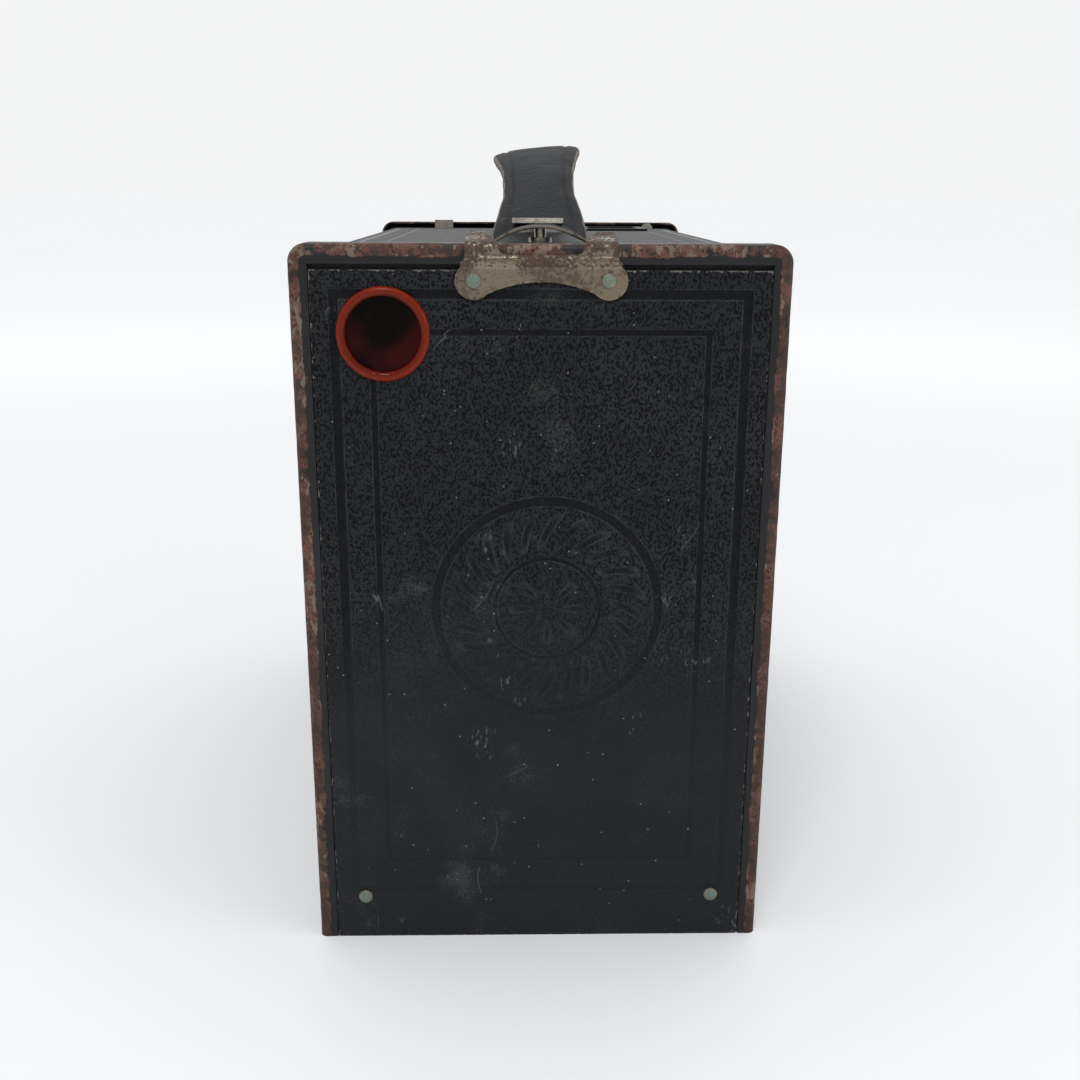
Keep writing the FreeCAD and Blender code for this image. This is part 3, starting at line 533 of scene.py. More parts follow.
@dataclass(frozen=True)
class Celluloid(Finish):
    """Glossy dark red ring, painted brighter orange-red towards its outer edge as a painted highlight."""

    name: str
    deep: Colour = (0.070, 0.0048, 0.0010)
    highlight_red: Colour = (0.23, 0.019, 0.0030)
    dirt: Colour = (0.03, 0.008, 0.006)

    def mixed(self, recipe: Recipe) -> bpy.types.Material:
        """Red with a painted highlight that brightens it towards the outer edge.

        Args:
            recipe: the empty material.

        Returns:
            The finished material.
        """
        # The ring's wear values give the strength of the painted highlight.
        lip_highlight = recipe.attribute("wear")
        clouds = recipe.noise(4 * MM, 4.0)
        grime = recipe.noise(1.0 * MM, 6.0).ramp(0.60, 0.74)
        base = recipe.mix((lip_highlight * (clouds * 0.7 + 0.5)).least(1.0), self.deep, self.highlight_red)
        base = recipe.mix(grime * 0.5, base, self.dirt)
        return recipe.finish(
            Base_Color=base,
            Roughness=0.10 + grime * 0.3,
            Specular_IOR_Level=0.16,
            Normal=recipe.bump(clouds, 0.03 * MM, 0.4),
        )


@dataclass(frozen=True)
class WindowFilm(Finish):
    """The very dark red sheet behind the ring."""

    name: str
    colour: Colour = (0.0028, 0.0007, 0.0005)
    lit: Colour = (0.032, 0.003, 0.0020)

    def mixed(self, recipe: Recipe) -> bpy.types.Material:
        """Almost black, with brighter red where light comes through.

        Args:
            recipe: the empty material.

        Returns:
            The finished material.
        """
        clouds = recipe.noise(9 * MM, 3.0)
        base = recipe.mix(clouds.ramp(0.45, 0.70), self.colour, self.lit)
        smears = recipe.noise(1.6 * MM, 5.0, (1, 1, 0.3))
        return recipe.finish(
            Base_Color=base,
            Roughness=0.10 + smears * 0.18,
            Specular_IOR_Level=0.05,
            Normal=recipe.bump(clouds, 0.12 * MM, 0.5),
        )


@dataclass(frozen=True)
class StrapLeather(Finish):
    """Smooth black leather, creased across and rubbed pale along its edges."""

    name: str
    colour: Colour = (0.011, 0.0125, 0.0145)
    worn: Colour = (0.085, 0.088, 0.090)
    raw: Colour = (0.25, 0.22, 0.18)
    pressed: Colour = (0.004, 0.004, 0.005)
    dust: Colour = (0.3, 0.3, 0.28)

    def mixed(self, recipe: Recipe) -> bpy.types.Material:
        """Fine grain, cross creases and rubbed edges.

        Args:
            recipe: the empty material.

        Returns:
            The finished material.
        """
        grain = recipe.cells(0.55 * MM, "SMOOTH_F1", 1.0, 0.4 * MM)
        creases = recipe.noise(1.9 * MM, 5.0, (0.25, 1, 1))
        edge = recipe.attribute("wear")
        rubbed = (edge + (recipe.noise(2.2 * MM, 6.0) - 0.5) * 0.8).ramp(0.45, 0.75)
        dull = recipe.noise(11 * MM, 5.0).ramp(0.4, 0.7) * creases.ramp(0.50, 0.70)
        base = recipe.mix(dull * 0.4, self.colour, self.worn)
        base = recipe.mix(rubbed * 0.75, base, self.raw)
        base = recipe.mix(recipe.attribute("pressed") * 0.8, base, self.pressed)
        base = recipe.mix(recipe.specks(1.5 * MM, 0.03, 0.2) * 0.7, base, self.dust)
        return recipe.finish(
            Base_Color=base,
            Roughness=0.50 + rubbed * 0.3 + creases * 0.14,
            Normal=recipe.bump((0.5 - grain) * 1.2 + creases * 0.9, 0.14 * MM, 0.9),
            Specular_IOR_Level=0.17,
        )


@dataclass(frozen=True)
class GrainedWood(Finish):
    """Softwood with long grain."""

    name: str
    light: Colour = (0.36, 0.22, 0.11)
    dark: Colour = (0.17, 0.085, 0.038)
    along: tuple[float, float, float] = (1, 1, 0.12)

    def mixed(self, recipe: Recipe) -> bpy.types.Material:
        """Rings stretched along the grain, with pores.

        Args:
            recipe: the empty material.

        Returns:
            The finished material.
        """
        rings = recipe.noise(3 * MM, 4.0, self.along)
        pores = recipe.noise(0.5 * MM, 3.0, self.along)
        base = recipe.mix(rings.ramp(0.35, 0.68), self.light, self.dark)
        return recipe.finish(
            Base_Color=recipe.mix(pores.ramp(0.55, 0.75) * 0.6, base, self.dark),
            Roughness=0.55 + pores * 0.2,
            Normal=recipe.bump(rings + pores, 0.06 * MM, 0.6),
        )


@dataclass(frozen=True)
class Matt(Finish):
    """A matt fibrous finish, such as blackened board or felt."""

    name: str
    colour: Colour = (0.02, 0.018, 0.016)
    fleck: Colour = (0.07, 0.055, 0.04)
    fibre: float = 0.5 * MM

    def mixed(self, recipe: Recipe) -> bpy.types.Material:
        """Fibres in two directions over a blotchy ground.

        Args:
            recipe: the empty material.

        Returns:
            The finished material.
        """
        one = recipe.noise(self.fibre, 4.0, (1, 0.15, 1))
        other = recipe.noise(self.fibre, 4.0, (1, 1, 0.15))
        fibres = one.most(other)
        base = recipe.mix(fibres.ramp(0.5, 0.75) * 0.7, self.colour, self.fleck)
        return recipe.finish(
            Base_Color=base,
            Roughness=0.82 + fibres * 0.12,
            Normal=recipe.bump(fibres, 0.12 * MM, 0.8),
        )


class GlassKind(Enum):
    """What a piece of glass does to the light."""

    CLEAR = "clear"
    GROUND = "ground"
    SILVERED = "silvered"


@dataclass(frozen=True)
class OldGlass(Finish):
    """Old glass, clear, ground or silvered, with dust on it."""

    name: str
    kind: GlassKind = GlassKind.CLEAR
    tint: Colour = (0.86, 0.92, 0.92)
    silver: Colour = (0.75, 0.76, 0.76)
    spotted: Colour = (0.16, 0.12, 0.08)
    matt: Colour = (0.42, 0.46, 0.47)
    dusty: Colour = (0.62, 0.62, 0.58)

    def mixed(self, recipe: Recipe) -> bpy.types.Material:
        """Dust over the glass.

        Args:
            recipe: the empty material.

        Returns:
            The finished material.
        """
        dust = recipe.noise(1.5 * MM, 6.0).ramp(0.5, 0.75)
        if self.kind is GlassKind.SILVERED:
            spots = recipe.noise(2 * MM, 5.0).ramp(0.60, 0.72)
            return recipe.finish(
                Base_Color=recipe.mix(spots * 0.7, self.silver, self.spotted),
                Metallic=1.0 - spots * 0.6,
                Roughness=0.06 + spots * 0.3,
            )
        if self.kind is GlassKind.GROUND:
            return recipe.finish(
                Base_Color=recipe.mix(dust * 0.4, self.matt, self.dusty),
                Roughness=0.45 + dust * 0.3,
                Normal=recipe.bump(recipe.noise(0.15 * MM, 2.0), 0.03 * MM, 0.6),
                Transmission_Weight=0.35,
            )
        return recipe.finish(
            Base_Color=self.tint,
            Roughness=0.03 + dust * 0.25,
            Transmission_Weight=0.95,
            IOR=1.5,
        )


FINISHES: dict[str, Finish] = {
    # The body's pressed lines take a pale colour: a painted highlight along the lines on its top and sides.
    "body_leatherette": Leatherette(
        "body_leatherette", ground=(0.0165, 0.0178, 0.0200), pressed=(0.14, 0.145, 0.145), gloss=0.75
    ),
    "panel_leatherette": Leatherette("panel_leatherette", foot_wear=0.85),
    "worn_enamel": WornEnamel("worn_enamel"),
    "black_enamel": WornEnamel("black_enamel", wear=0.5),
    "nickel": TarnishedNickel("nickel", plate=(0.60, 0.56, 0.49), rusting=0.3),
    "latch_nickel": TarnishedNickel(
        "latch_nickel", plate=(0.22, 0.18, 0.135), dull=(0.135, 0.108, 0.080), rusting=1.6
    ),
    "steel": TarnishedNickel("steel", plate=(0.42, 0.42, 0.41), rusting=0.35),
    "brass": AgedBrass("brass"),
    "verdigris_rivet": AgedBrass("verdigris_rivet", verdigris=0.40),
    "red_celluloid": Celluloid("red_celluloid"),
    "red_window": WindowFilm("red_window"),
    "strap_leather": StrapLeather("strap_leather"),
    "wood": GrainedWood("wood"),
    "spool_wood": GrainedWood("spool_wood", along=(0.12, 1, 1)),
    "board": Matt("board"),
    "felt": Matt("felt", colour=(0.008, 0.008, 0.009), fleck=(0.03, 0.03, 0.032), fibre=0.25 * MM),
    "glass": OldGlass("glass"),
    "ground_glass": OldGlass("ground_glass", kind=GlassKind.GROUND),
    "mirror": OldGlass("mirror", kind=GlassKind.SILVERED),
}


# ---------------------------------------------------------------- mesh tools


def quads(rows: int, columns: int, wrap: bool = False) -> list[tuple[int, int, int, int]]:
    """The faces of a grid of points that is stored row by row.

    Args:
        rows: how many rows it has.
        columns: how many points a row has.
        wrap: whether each row's end joins its start.

    Returns:
        The faces.
    """
    faces = []
    for row in range(rows - 1):
        for column in range(columns if wrap else columns - 1):
            after = (column + 1) % columns
            low, high = row * columns, (row + 1) * columns
            faces.append((low + column, low + after, high + after, high + column))
    return faces


def arc(
    centre: Sequence[float], radius: float, start: float, stop: float, count: int
) -> list[tuple[float, float]]:
    """Points along a circle in a plane.

    Args:
        centre: the circle's centre.
        radius: its radius.
        start: the first point's angle, in degrees.
        stop: the last point's angle.
        count: how many points there are.

    Returns:
        The points.
    """
    turns = np.radians(np.linspace(start, stop, count))
    return [(centre[0] + radius * math.cos(turn), centre[1] + radius * math.sin(turn)) for turn in turns]


@contextmanager
def editing(mesh: bpy.types.Mesh) -> Iterator[bmesh.types.BMesh]:
    """Open a mesh for editing, and write it back at the end.

    Args:
        mesh: the mesh.

    Yields:
        Its editable shell.
    """
    shell = bmesh.new()
    shell.from_mesh(mesh)
    yield shell
    shell.to_mesh(mesh)
    shell.free()


def outlined(shell: bmesh.types.BMesh, loop: Sequence[Sequence[float]]) -> list[bmesh.types.BMEdge]:
    """Add a closed outline to a shell.

    Args:
        shell: the shell.
        loop: the outline's points.

    Returns:
        Its edges.
    """
    points = [shell.verts.new(point) for point in loop]
    return [shell.edges.new(pair) for pair in zip(points, points[1:] + points[:1])]


def placed(name: str, data: bpy.types.ID) -> bpy.types.Object:
    """Put something in the scene.

    Args:
        name: its name.
        data: its mesh, light or camera.

    Returns:
        The object.
    """
    thing = bpy.data.objects.new(name, data)
    bpy.context.scene.collection.objects.link(thing)
    return thing


def add_piece(
    name: str,
    points: np.ndarray,
    faces: Iterable[Sequence[int]],
    wear: np.ndarray | None = None,
    smooth: bool = True,
    **surface: np.ndarray,
) -> bpy.types.Object:
    """Make an object from points and faces, with its faces turned outwards.

    Args:
        name: the piece's name.
        points: the points, in metres.
        faces: the faces, as numbers of points.
        wear: how worn the finish is at each point.
        smooth: whether it is shaded smooth.
        **surface: other values at each point, by name.

    Returns:
        The object.
    """
    mesh = bpy.data.meshes.new(name)
    mesh.from_pydata(np.asarray(points).reshape(-1, 3).tolist(), [], list(faces))
    if wear is not None:
        surface["wear"] = wear
    for layer_name, values in surface.items():
        layer = mesh.attributes.new(layer_name, "FLOAT", "POINT")
        layer.data.foreach_set("value", np.asarray(values, np.float32).ravel())
    with editing(mesh) as shell:
        bmesh.ops.recalc_face_normals(shell, faces=shell.faces)
    mesh.polygons.foreach_set("use_smooth", [smooth] * len(mesh.polygons))
    return placed(name, mesh)


def modified(piece: bpy.types.Object, kind: str, **settings: object) -> bpy.types.Object:
    """Add a modifier and set it up.

    Args:
        piece: the piece.
        kind: the modifier's type.
        **settings: its settings.

    Returns:
        The piece.
    """
    modifier = piece.modifiers.new(kind.lower(), kind)
    for key, value in settings.items():
        setattr(modifier, key, value)
    return piece


def settled(piece: bpy.types.Object) -> bpy.types.Object:
    """Turn a piece's modifiers into mesh.

    Args:
        piece: the piece.

    Returns:
        The same piece.
    """
    graph = bpy.context.evaluated_depsgraph_get()
    graph.update()
    mesh = bpy.data.meshes.new_from_object(piece.evaluated_get(graph))
    piece.modifiers.clear()
    piece.data = mesh
    return piece


def soften(piece: bpy.types.Object, width: float, angle: float = 35) -> None:
    """Round the edges of a piece that are sharper than an angle in degrees."""
    modified(piece, "BEVEL", width=width, segments=2, limit_method="ANGLE", angle_limit=math.radians(angle))


def lathe(
    name: str,
    profile: Sequence[tuple[float, float, float]],
    centre: Vector,
    axis: Vector,
    steps: int = 64,
    wobble: float = 0.0,
) -> bpy.types.Object:
    """Turn a profile about an axis.

    Args:
        name: the piece's name.
        profile: (radius, distance along the axis, wear) from one end to the other.
        centre: where the distances start.
        axis: the axis.
        steps: how many steps a turn has.
        wobble: how far noise moves the surface, in metres.

    Returns:
        The piece, closed where the profile's ends meet the axis or each other.
    """
    turn = axis.to_track_quat("Z", "Y").to_matrix()
    points, wear = [], []
    for step in range(steps):
        angle = 2 * math.pi * step / steps
        for radius, along, worn in profile:
            spot = Vector((radius * math.cos(angle), radius * math.sin(angle), along))
            if wobble:
                spot += noise.noise_vector((spot + centre) / (0.9 * MM)) * wobble
            points.append(centre + turn @ spot)
            wear.append(worn)
    count = len(profile)
    faces = [
        (a * count + b, a * count + c, ((a + 1) % steps) * count + c, ((a + 1) % steps) * count + b)
        for a in range(steps)
        for b, c in zip(range(count), [*range(1, count), 0])
    ]
    piece = add_piece(name, np.array(points), faces, np.array(wear))
    with editing(piece.data) as shell:
        bmesh.ops.remove_doubles(shell, verts=shell.verts, dist=0.004 * MM)
        bmesh.ops.dissolve_degenerate(shell, edges=shell.edges, dist=0.001 * MM)
        bmesh.ops.recalc_face_normals(shell, faces=shell.faces)
    return piece


def fitted(
    piece: bpy.types.Object, body: str, slot: str, replaced: Sequence[str] = (), blended: bool = False
) -> bpy.types.Object:
    """Give a piece its finish, its body and the nodes that it stands for.

    Args:
        piece: the finished piece.
        body: the body that it rides on.
        slot: its material slot.
        replaced: the nodes that it stands for.
        blended: whether to leave the piece on no body.

    Returns:
        The piece.
    """
    piece.data.materials.clear()
    piece.data.materials.append(FINISHES[slot].material())
    if not blended:
        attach(piece, body)
    if replaced:
        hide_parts(*replaced)
    LOG.info("%s: %d faces on %s", piece.name, len(piece.data.polygons), body)
    return piece


def corners(node: str) -> tuple[Vector, Vector]:
    """A node's lowest and highest corners.

    Args:
        node: the node's name.

    Returns:
        Both corners.
    """
    low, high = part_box(node)
    return Vector(low), Vector(high)


def middle(node: str) -> Vector:
    """The middle of a node's box."""
    low, high = corners(node)
    return (low + high) / 2


def groove(distance: np.ndarray | float, half: float, soft: float) -> np.ndarray | float:
    """How deep a pressed line is at a distance from its middle, from 0 to 1.

    Args:
        distance: the distances.
        half: half its width.
        soft: the width of its sloping walls.

    Returns:
        The depths.
    """
    step = np.clip((half + soft / 2 - np.abs(distance)) / soft, 0, 1)
    return step * step * (3 - 2 * step)


# ---------------------------------------------------------------- the camera's pieces


class End(Enum):
    """Which way a pan faces."""

    BACK = -1
    FRONT = 1


@dataclass
class Pan:
    """A pressed tinplate pan: worn rolled rim, flanges and the plate that backs the covering."""

    end: End
    node: str
    body: str
    panel_node: str
    holes: list[tuple[float, float, float]]
    corner: float = 3.1 * MM
    sheet: float = 0.6 * MM
    roll: float = 1.15 * MM
    step: float = 0.8 * MM
    dent: float = 0.10 * MM
    held_high: float = 85 * MM

    def path(self, half: float, top: float) -> list[tuple[Vector, Vector]]:
        """Points and outward directions up one side, over the top and down the other.

        Args:
            half: the pan's half width.
            top: its height.

        Returns:
            Pairs of point and direction, in the plane of the pan.
        """
        places = []
        rise, run = top - self.corner, half - self.corner
        for z in np.linspace(0, rise, int(rise / self.step)):
            places.append((Vector((-half, 0, z)), Vector((-1, 0, 0))))
        for across, up in arc((0, 0), 1, 180, 90, 12)[1:-1]:
            out = Vector((across, 0, up))
            places.append((Vector((-run, 0, rise)) + out * self.corner, out))
        for x in np.linspace(-run, run, int(2 * run / self.step)):
            places.append((Vector((x, 0, top)), Vector((0, 0, 1))))
        mirrored = [(Vector((-p.x, 0, p.z)), Vector((-n.x, 0, n.z))) for p, n in places]
        right = [pair for pair in reversed(mirrored) if pair[1].x > 0.001]
        return places + right

    def profile(self, flange: float, rim: float) -> list[tuple[float, float, float]]:
        """The rim's section: inset from the outside, depth behind the face, and wear.

        Args:
            flange: how deep the flange is.
            rim: how wide the raised rim is.

        Returns:
            The section's points, round its whole outline.
        """
        roll = self.roll
        section = [(self.sheet, flange, 0.45), (0.12 * MM, flange, 0.8), (0, flange - 0.15 * MM, 0.8)]
        for share in (0.9, 0.75, 0.6, 0.45, 0.33):
            section.append((0, flange * share, 0.38 + 0.3 * (1 - share)))
        section += [(roll - across, roll - up, 1.0) for across, up in arc((0, 0), roll, 0, 90, 8)]
        for share, worn in ((0.55, 0.92), (0.63, 0.62), (0.72, 0.30), (0.85, 0.10), (0.95, 0.2)):
            section.append((rim * share, 0.04 * MM * (share > 0.6), worn))
        section.append((rim, 0.12 * MM, 0.45))
        section.append((rim + 0.03 * MM, 0.5 * MM, 0.1))
        section.append((rim + 0.03 * MM, 1.1 * MM, 0.0))
        section.append((roll + 0.2 * MM, 1.1 * MM, 0.0))
        section.append((self.sheet, 1.5 * MM, 0.0))
        return section

    def build(self) -> None:
        """Make the rim and the plate inside it."""
        low, high = corners(self.node)
        panel_high = corners(self.panel_node)[1]
        sign = self.end.value
        face = high.y if sign > 0 else low.y
        rim_wide = high.x - panel_high.x - 0.1 * MM
        section = self.profile(high.y - low.y, rim_wide)
        points, wear = [], []
        for spot, out in self.path(high.x, high.z):
            for inset, depth, worn in section:
                place = spot - out * inset + Vector((0, face - sign * depth, 0))
                if inset < 0.6 * rim_wide:
                    shift = noise.noise(place / (6 * MM)) + 0.5 * noise.noise(place / (2.2 * MM))
                    place -= (out * 0.6 + Vector((0, sign * 0.5, 0))) * (abs(shift) * self.dent)
                place.z = max(place.z, low.z)
                points.append(place)
                held = place.x > 0 and place.z < self.held_high
                uneven = 0.88 + 0.35 * noise.noise(place / (15 * MM)) + 0.10 * held - 0.10 * (out.z > 0.9)
                wear.append(worn * uneven)
        count = len(section)
        rows = len(points) // count
        faces = quads(rows, count, wrap=True)
        faces += [tuple(range(count)), tuple(range((rows - 1) * count, rows * count))]
        rim = add_piece(f"{self.node}_rim", np.array(points), faces, np.array(wear))
        fitted(rim, self.body, "worn_enamel", [self.node])
        plate = self.plate(panel_high, face - sign * 0.5 * MM, sign)
        fitted(plate, self.body, "black_enamel")

    def plate(self, panel_high: Vector, face: float, sign: int) -> bpy.types.Object:
        """The flat plate behind the covering, with its holes.

        Args:
            panel_high: the covering's highest corner.
            face: where the plate's outer face is.
            sign: which way it faces.

        Returns:
            The plate.
        """
        half, top = panel_high.x + 0.08 * MM, panel_high.z + 0.08 * MM
        loops = [[(-half, 0), (half, 0), (half, top), (-half, top)]]
        loops += [arc((x, z), radius, 0, 360, 49)[:-1] for x, z, radius in self.holes]
        mesh = bpy.data.meshes.new(f"{self.node}_plate")
        with editing(mesh) as shell:
            edges = [edge for loop in loops for edge in outlined(shell, [(x, face, z) for x, z in loop])]
            bmesh.ops.triangle_fill(shell, use_beauty=True, edges=edges)
        for polygon in mesh.polygons:
            if polygon.normal.y * sign < 0:
                polygon.flip()
        return settled(modified(placed(mesh.name, mesh), "SOLIDIFY", thickness=self.sheet, offset=-1.0))


@dataclass
class PressedPanel:
    """A pitted sheet of covering in a pan, with pressed lines that are worn shallow towards the foot."""

    end: End
    node: str
    body: str
    holes: list[tuple[float, float, float]]
    step: float
    pit_deep: float = 0.045 * MM
    pit_size: float = 0.62 * MM
    wide_line: float = 3.9 * MM
    wide_line_half: float = 0.8 * MM
    thin_line: float = 10.1 * MM
    thin_line_half: float = 0.5 * MM
    foot_gap: float = 6.3 * MM
    pressed: float = 0.30 * MM
    line_slope: float = 0.35 * MM
    medal: tuple[float, float] | None = None
    medal_rings: tuple[tuple[float, float], ...] = ((19.6 * MM, 0.85 * MM), (9.2 * MM, 0.4 * MM))
    leaves: int = 24
    leaf_ring: float = 14.2 * MM
    leaf_half: float = 3.4 * MM
    leaf_lean: float = 1.1 * MM
    petals: int = 8
    petal_ring: float = 4.4 * MM
    petal_half: float = 2.7 * MM
    foot_high: float = 76 * MM
    foot_low: float = 36 * MM
    foot_wear: float = 0.6

    def border(self, x: np.ndarray, z: np.ndarray, half: float, top: float) -> np.ndarray:
        """Depth of the pressed border lines.

        Args:
            x: places across.
            z: places up.
            half: the panel's half width.
            top: its height.

        Returns:
            The depth, from 0 to 1.
        """
        inset = np.minimum(half - np.abs(x), np.minimum(top - z, z - self.foot_gap))
        wide = groove(inset - self.wide_line, self.wide_line_half, self.line_slope)
        return np.maximum(wide, groove(inset - self.thin_line, self.thin_line_half, 0.3 * MM))

    def pitting(self, x: float, z: float) -> float:
        """How far a place is out of the small pits that cover the sheet.

        Args:
            x: the place across.
            z: the place up.

        Returns:
            0 in a pit, 1 between pits.
        """
        spot = Vector((x * 1.25 + z * 0.15, z * 0.85, 0)) / self.pit_size
        value = noise.noise(spot) + 0.3 * noise.noise(spot * 2.3)
        return min(1.0, max(0.0, (value + 0.34) / 0.34))

    def rosette(self, x: np.ndarray, z: np.ndarray) -> np.ndarray:
        """Depth of a plain round ornament: two rings, a ring of leaves and a small flower.

        Args:
            x: places across.
            z: places up.

        Returns:
            The depth, from 0 to 1.
        """
        across, up = x - self.medal[0], z - self.medal[1]
        radius, turn = np.hypot(across, up), np.arctan2(up, across)
        (outer_radius, outer_half), (inner_radius, inner_half) = self.medal_rings
        outer = groove(radius - outer_radius, outer_half, 0.4 * MM)
        inner = groove(radius - inner_radius, inner_half, 0.3 * MM)
        lean = turn * self.leaves + (radius - self.leaf_ring) / self.leaf_lean
        reach = np.clip(1 - ((radius - self.leaf_ring) / self.leaf_half) ** 2, 0, 1)
        leaves = groove((1 - np.cos(lean)) / 2, 0.35, 0.5) * np.sqrt(reach)
        petal = np.clip(1 - ((radius - self.petal_ring) / self.petal_half) ** 2, 0, 1)
        petal = np.clip(np.cos(turn * self.petals), 0, 1) * petal
        return np.maximum.reduce([outer, inner, 0.85 * leaves, 0.85 * petal])

    def build(self) -> None:
        """Make the sheet with its skirts and fit it."""
        low, high = corners(self.node)
        half, top = high.x, high.z
        sign = self.end.value
        face, back = (high.y, low.y) if sign > 0 else (low.y, high.y)
        xs = np.linspace(-half, half, int(2 * half / self.step) + 1)
        zs = np.linspace(0, top, int(top / self.step) + 1)
        x, z = np.meshgrid(xs, zs)
        depth = self.border(x, z, half, top) * self.pressed
        if self.medal:
            depth = np.maximum(depth, self.rosette(x, z) * self.pressed * 0.85)
        flat = np.clip(depth / self.pressed, 0, 1)
        depth *= 1 - self.foot_wear * np.clip((self.foot_high - z) / (self.foot_high - self.foot_low), 0, 1)
        grain = np.array([self.pitting(*spot) for spot in zip(x.ravel(), z.ravel())]).reshape(x.shape)
        rag = np.array([[noise.noise(Vector((a, b, 3.0)) / (3 * MM)) for a in (-half, half)] for b in zs])
        x[:, 0] += np.abs(rag[:, 0]) * 0.25 * MM
        x[:, -1] -= np.abs(rag[:, 1]) * 0.35 * MM
        edge = np.minimum(half - np.abs(x), np.minimum(top - z, z + 0.3 * MM))
        rounded = 0.18 * MM * np.clip(1 - edge / (0.7 * MM), 0, 1) ** 2
        down = depth + rounded + (1 - grain) * self.pit_deep * (1 - 0.9 * flat)
        wear = np.clip(1 - edge / (0.75 * MM), 0, 1) * 0.85 + np.clip(1 - z / (2.2 * MM), 0, 1) * 0.25
        surface = np.stack([x, face - sign * down, z], axis=-1)
        rows, columns = x.shape
        faces = quads(rows, columns)
        points = surface.reshape(-1, 3)
        centres = points[np.array(faces)].mean(axis=1)
        keep = np.ones(len(faces), bool)
        for hole_x, hole_z, radius in self.holes:
            keep &= np.hypot(centres[:, 0] - hole_x, centres[:, 2] - hole_z) > radius
        faces = [face_of_it for face_of_it, kept in zip(faces, keep) if kept]
        rim = [
            *range(columns),
            *range(2 * columns - 1, rows * columns, columns),
            *range(rows * columns - 2, (rows - 1) * columns - 1, -1),
            *range((rows - 2) * columns, 0, -columns),
        ]
        start = len(points)
        skirt = points[rim].copy()
        skirt[:, 1] = back
        after = [*range(1, len(rim)), 0]
        faces += [(rim[i], rim[j], start + j, start + i) for i, j in enumerate(after)]
        skirts = np.full(len(rim), 0.9)
        piece = add_piece(
            f"{self.node}_pressed",
            np.vstack([points, skirt]),
            faces,
            np.concatenate([wear.ravel(), skirts]),
            pressed=np.concatenate([flat.ravel(), 0 * skirts]),
        )
        with editing(piece.data) as shell:
            loose = [vert for vert in shell.verts if not vert.link_faces]
            bmesh.ops.delete(shell, geom=loose, context="VERTS")
        fitted(piece, self.body, "panel_leatherette", [self.node])


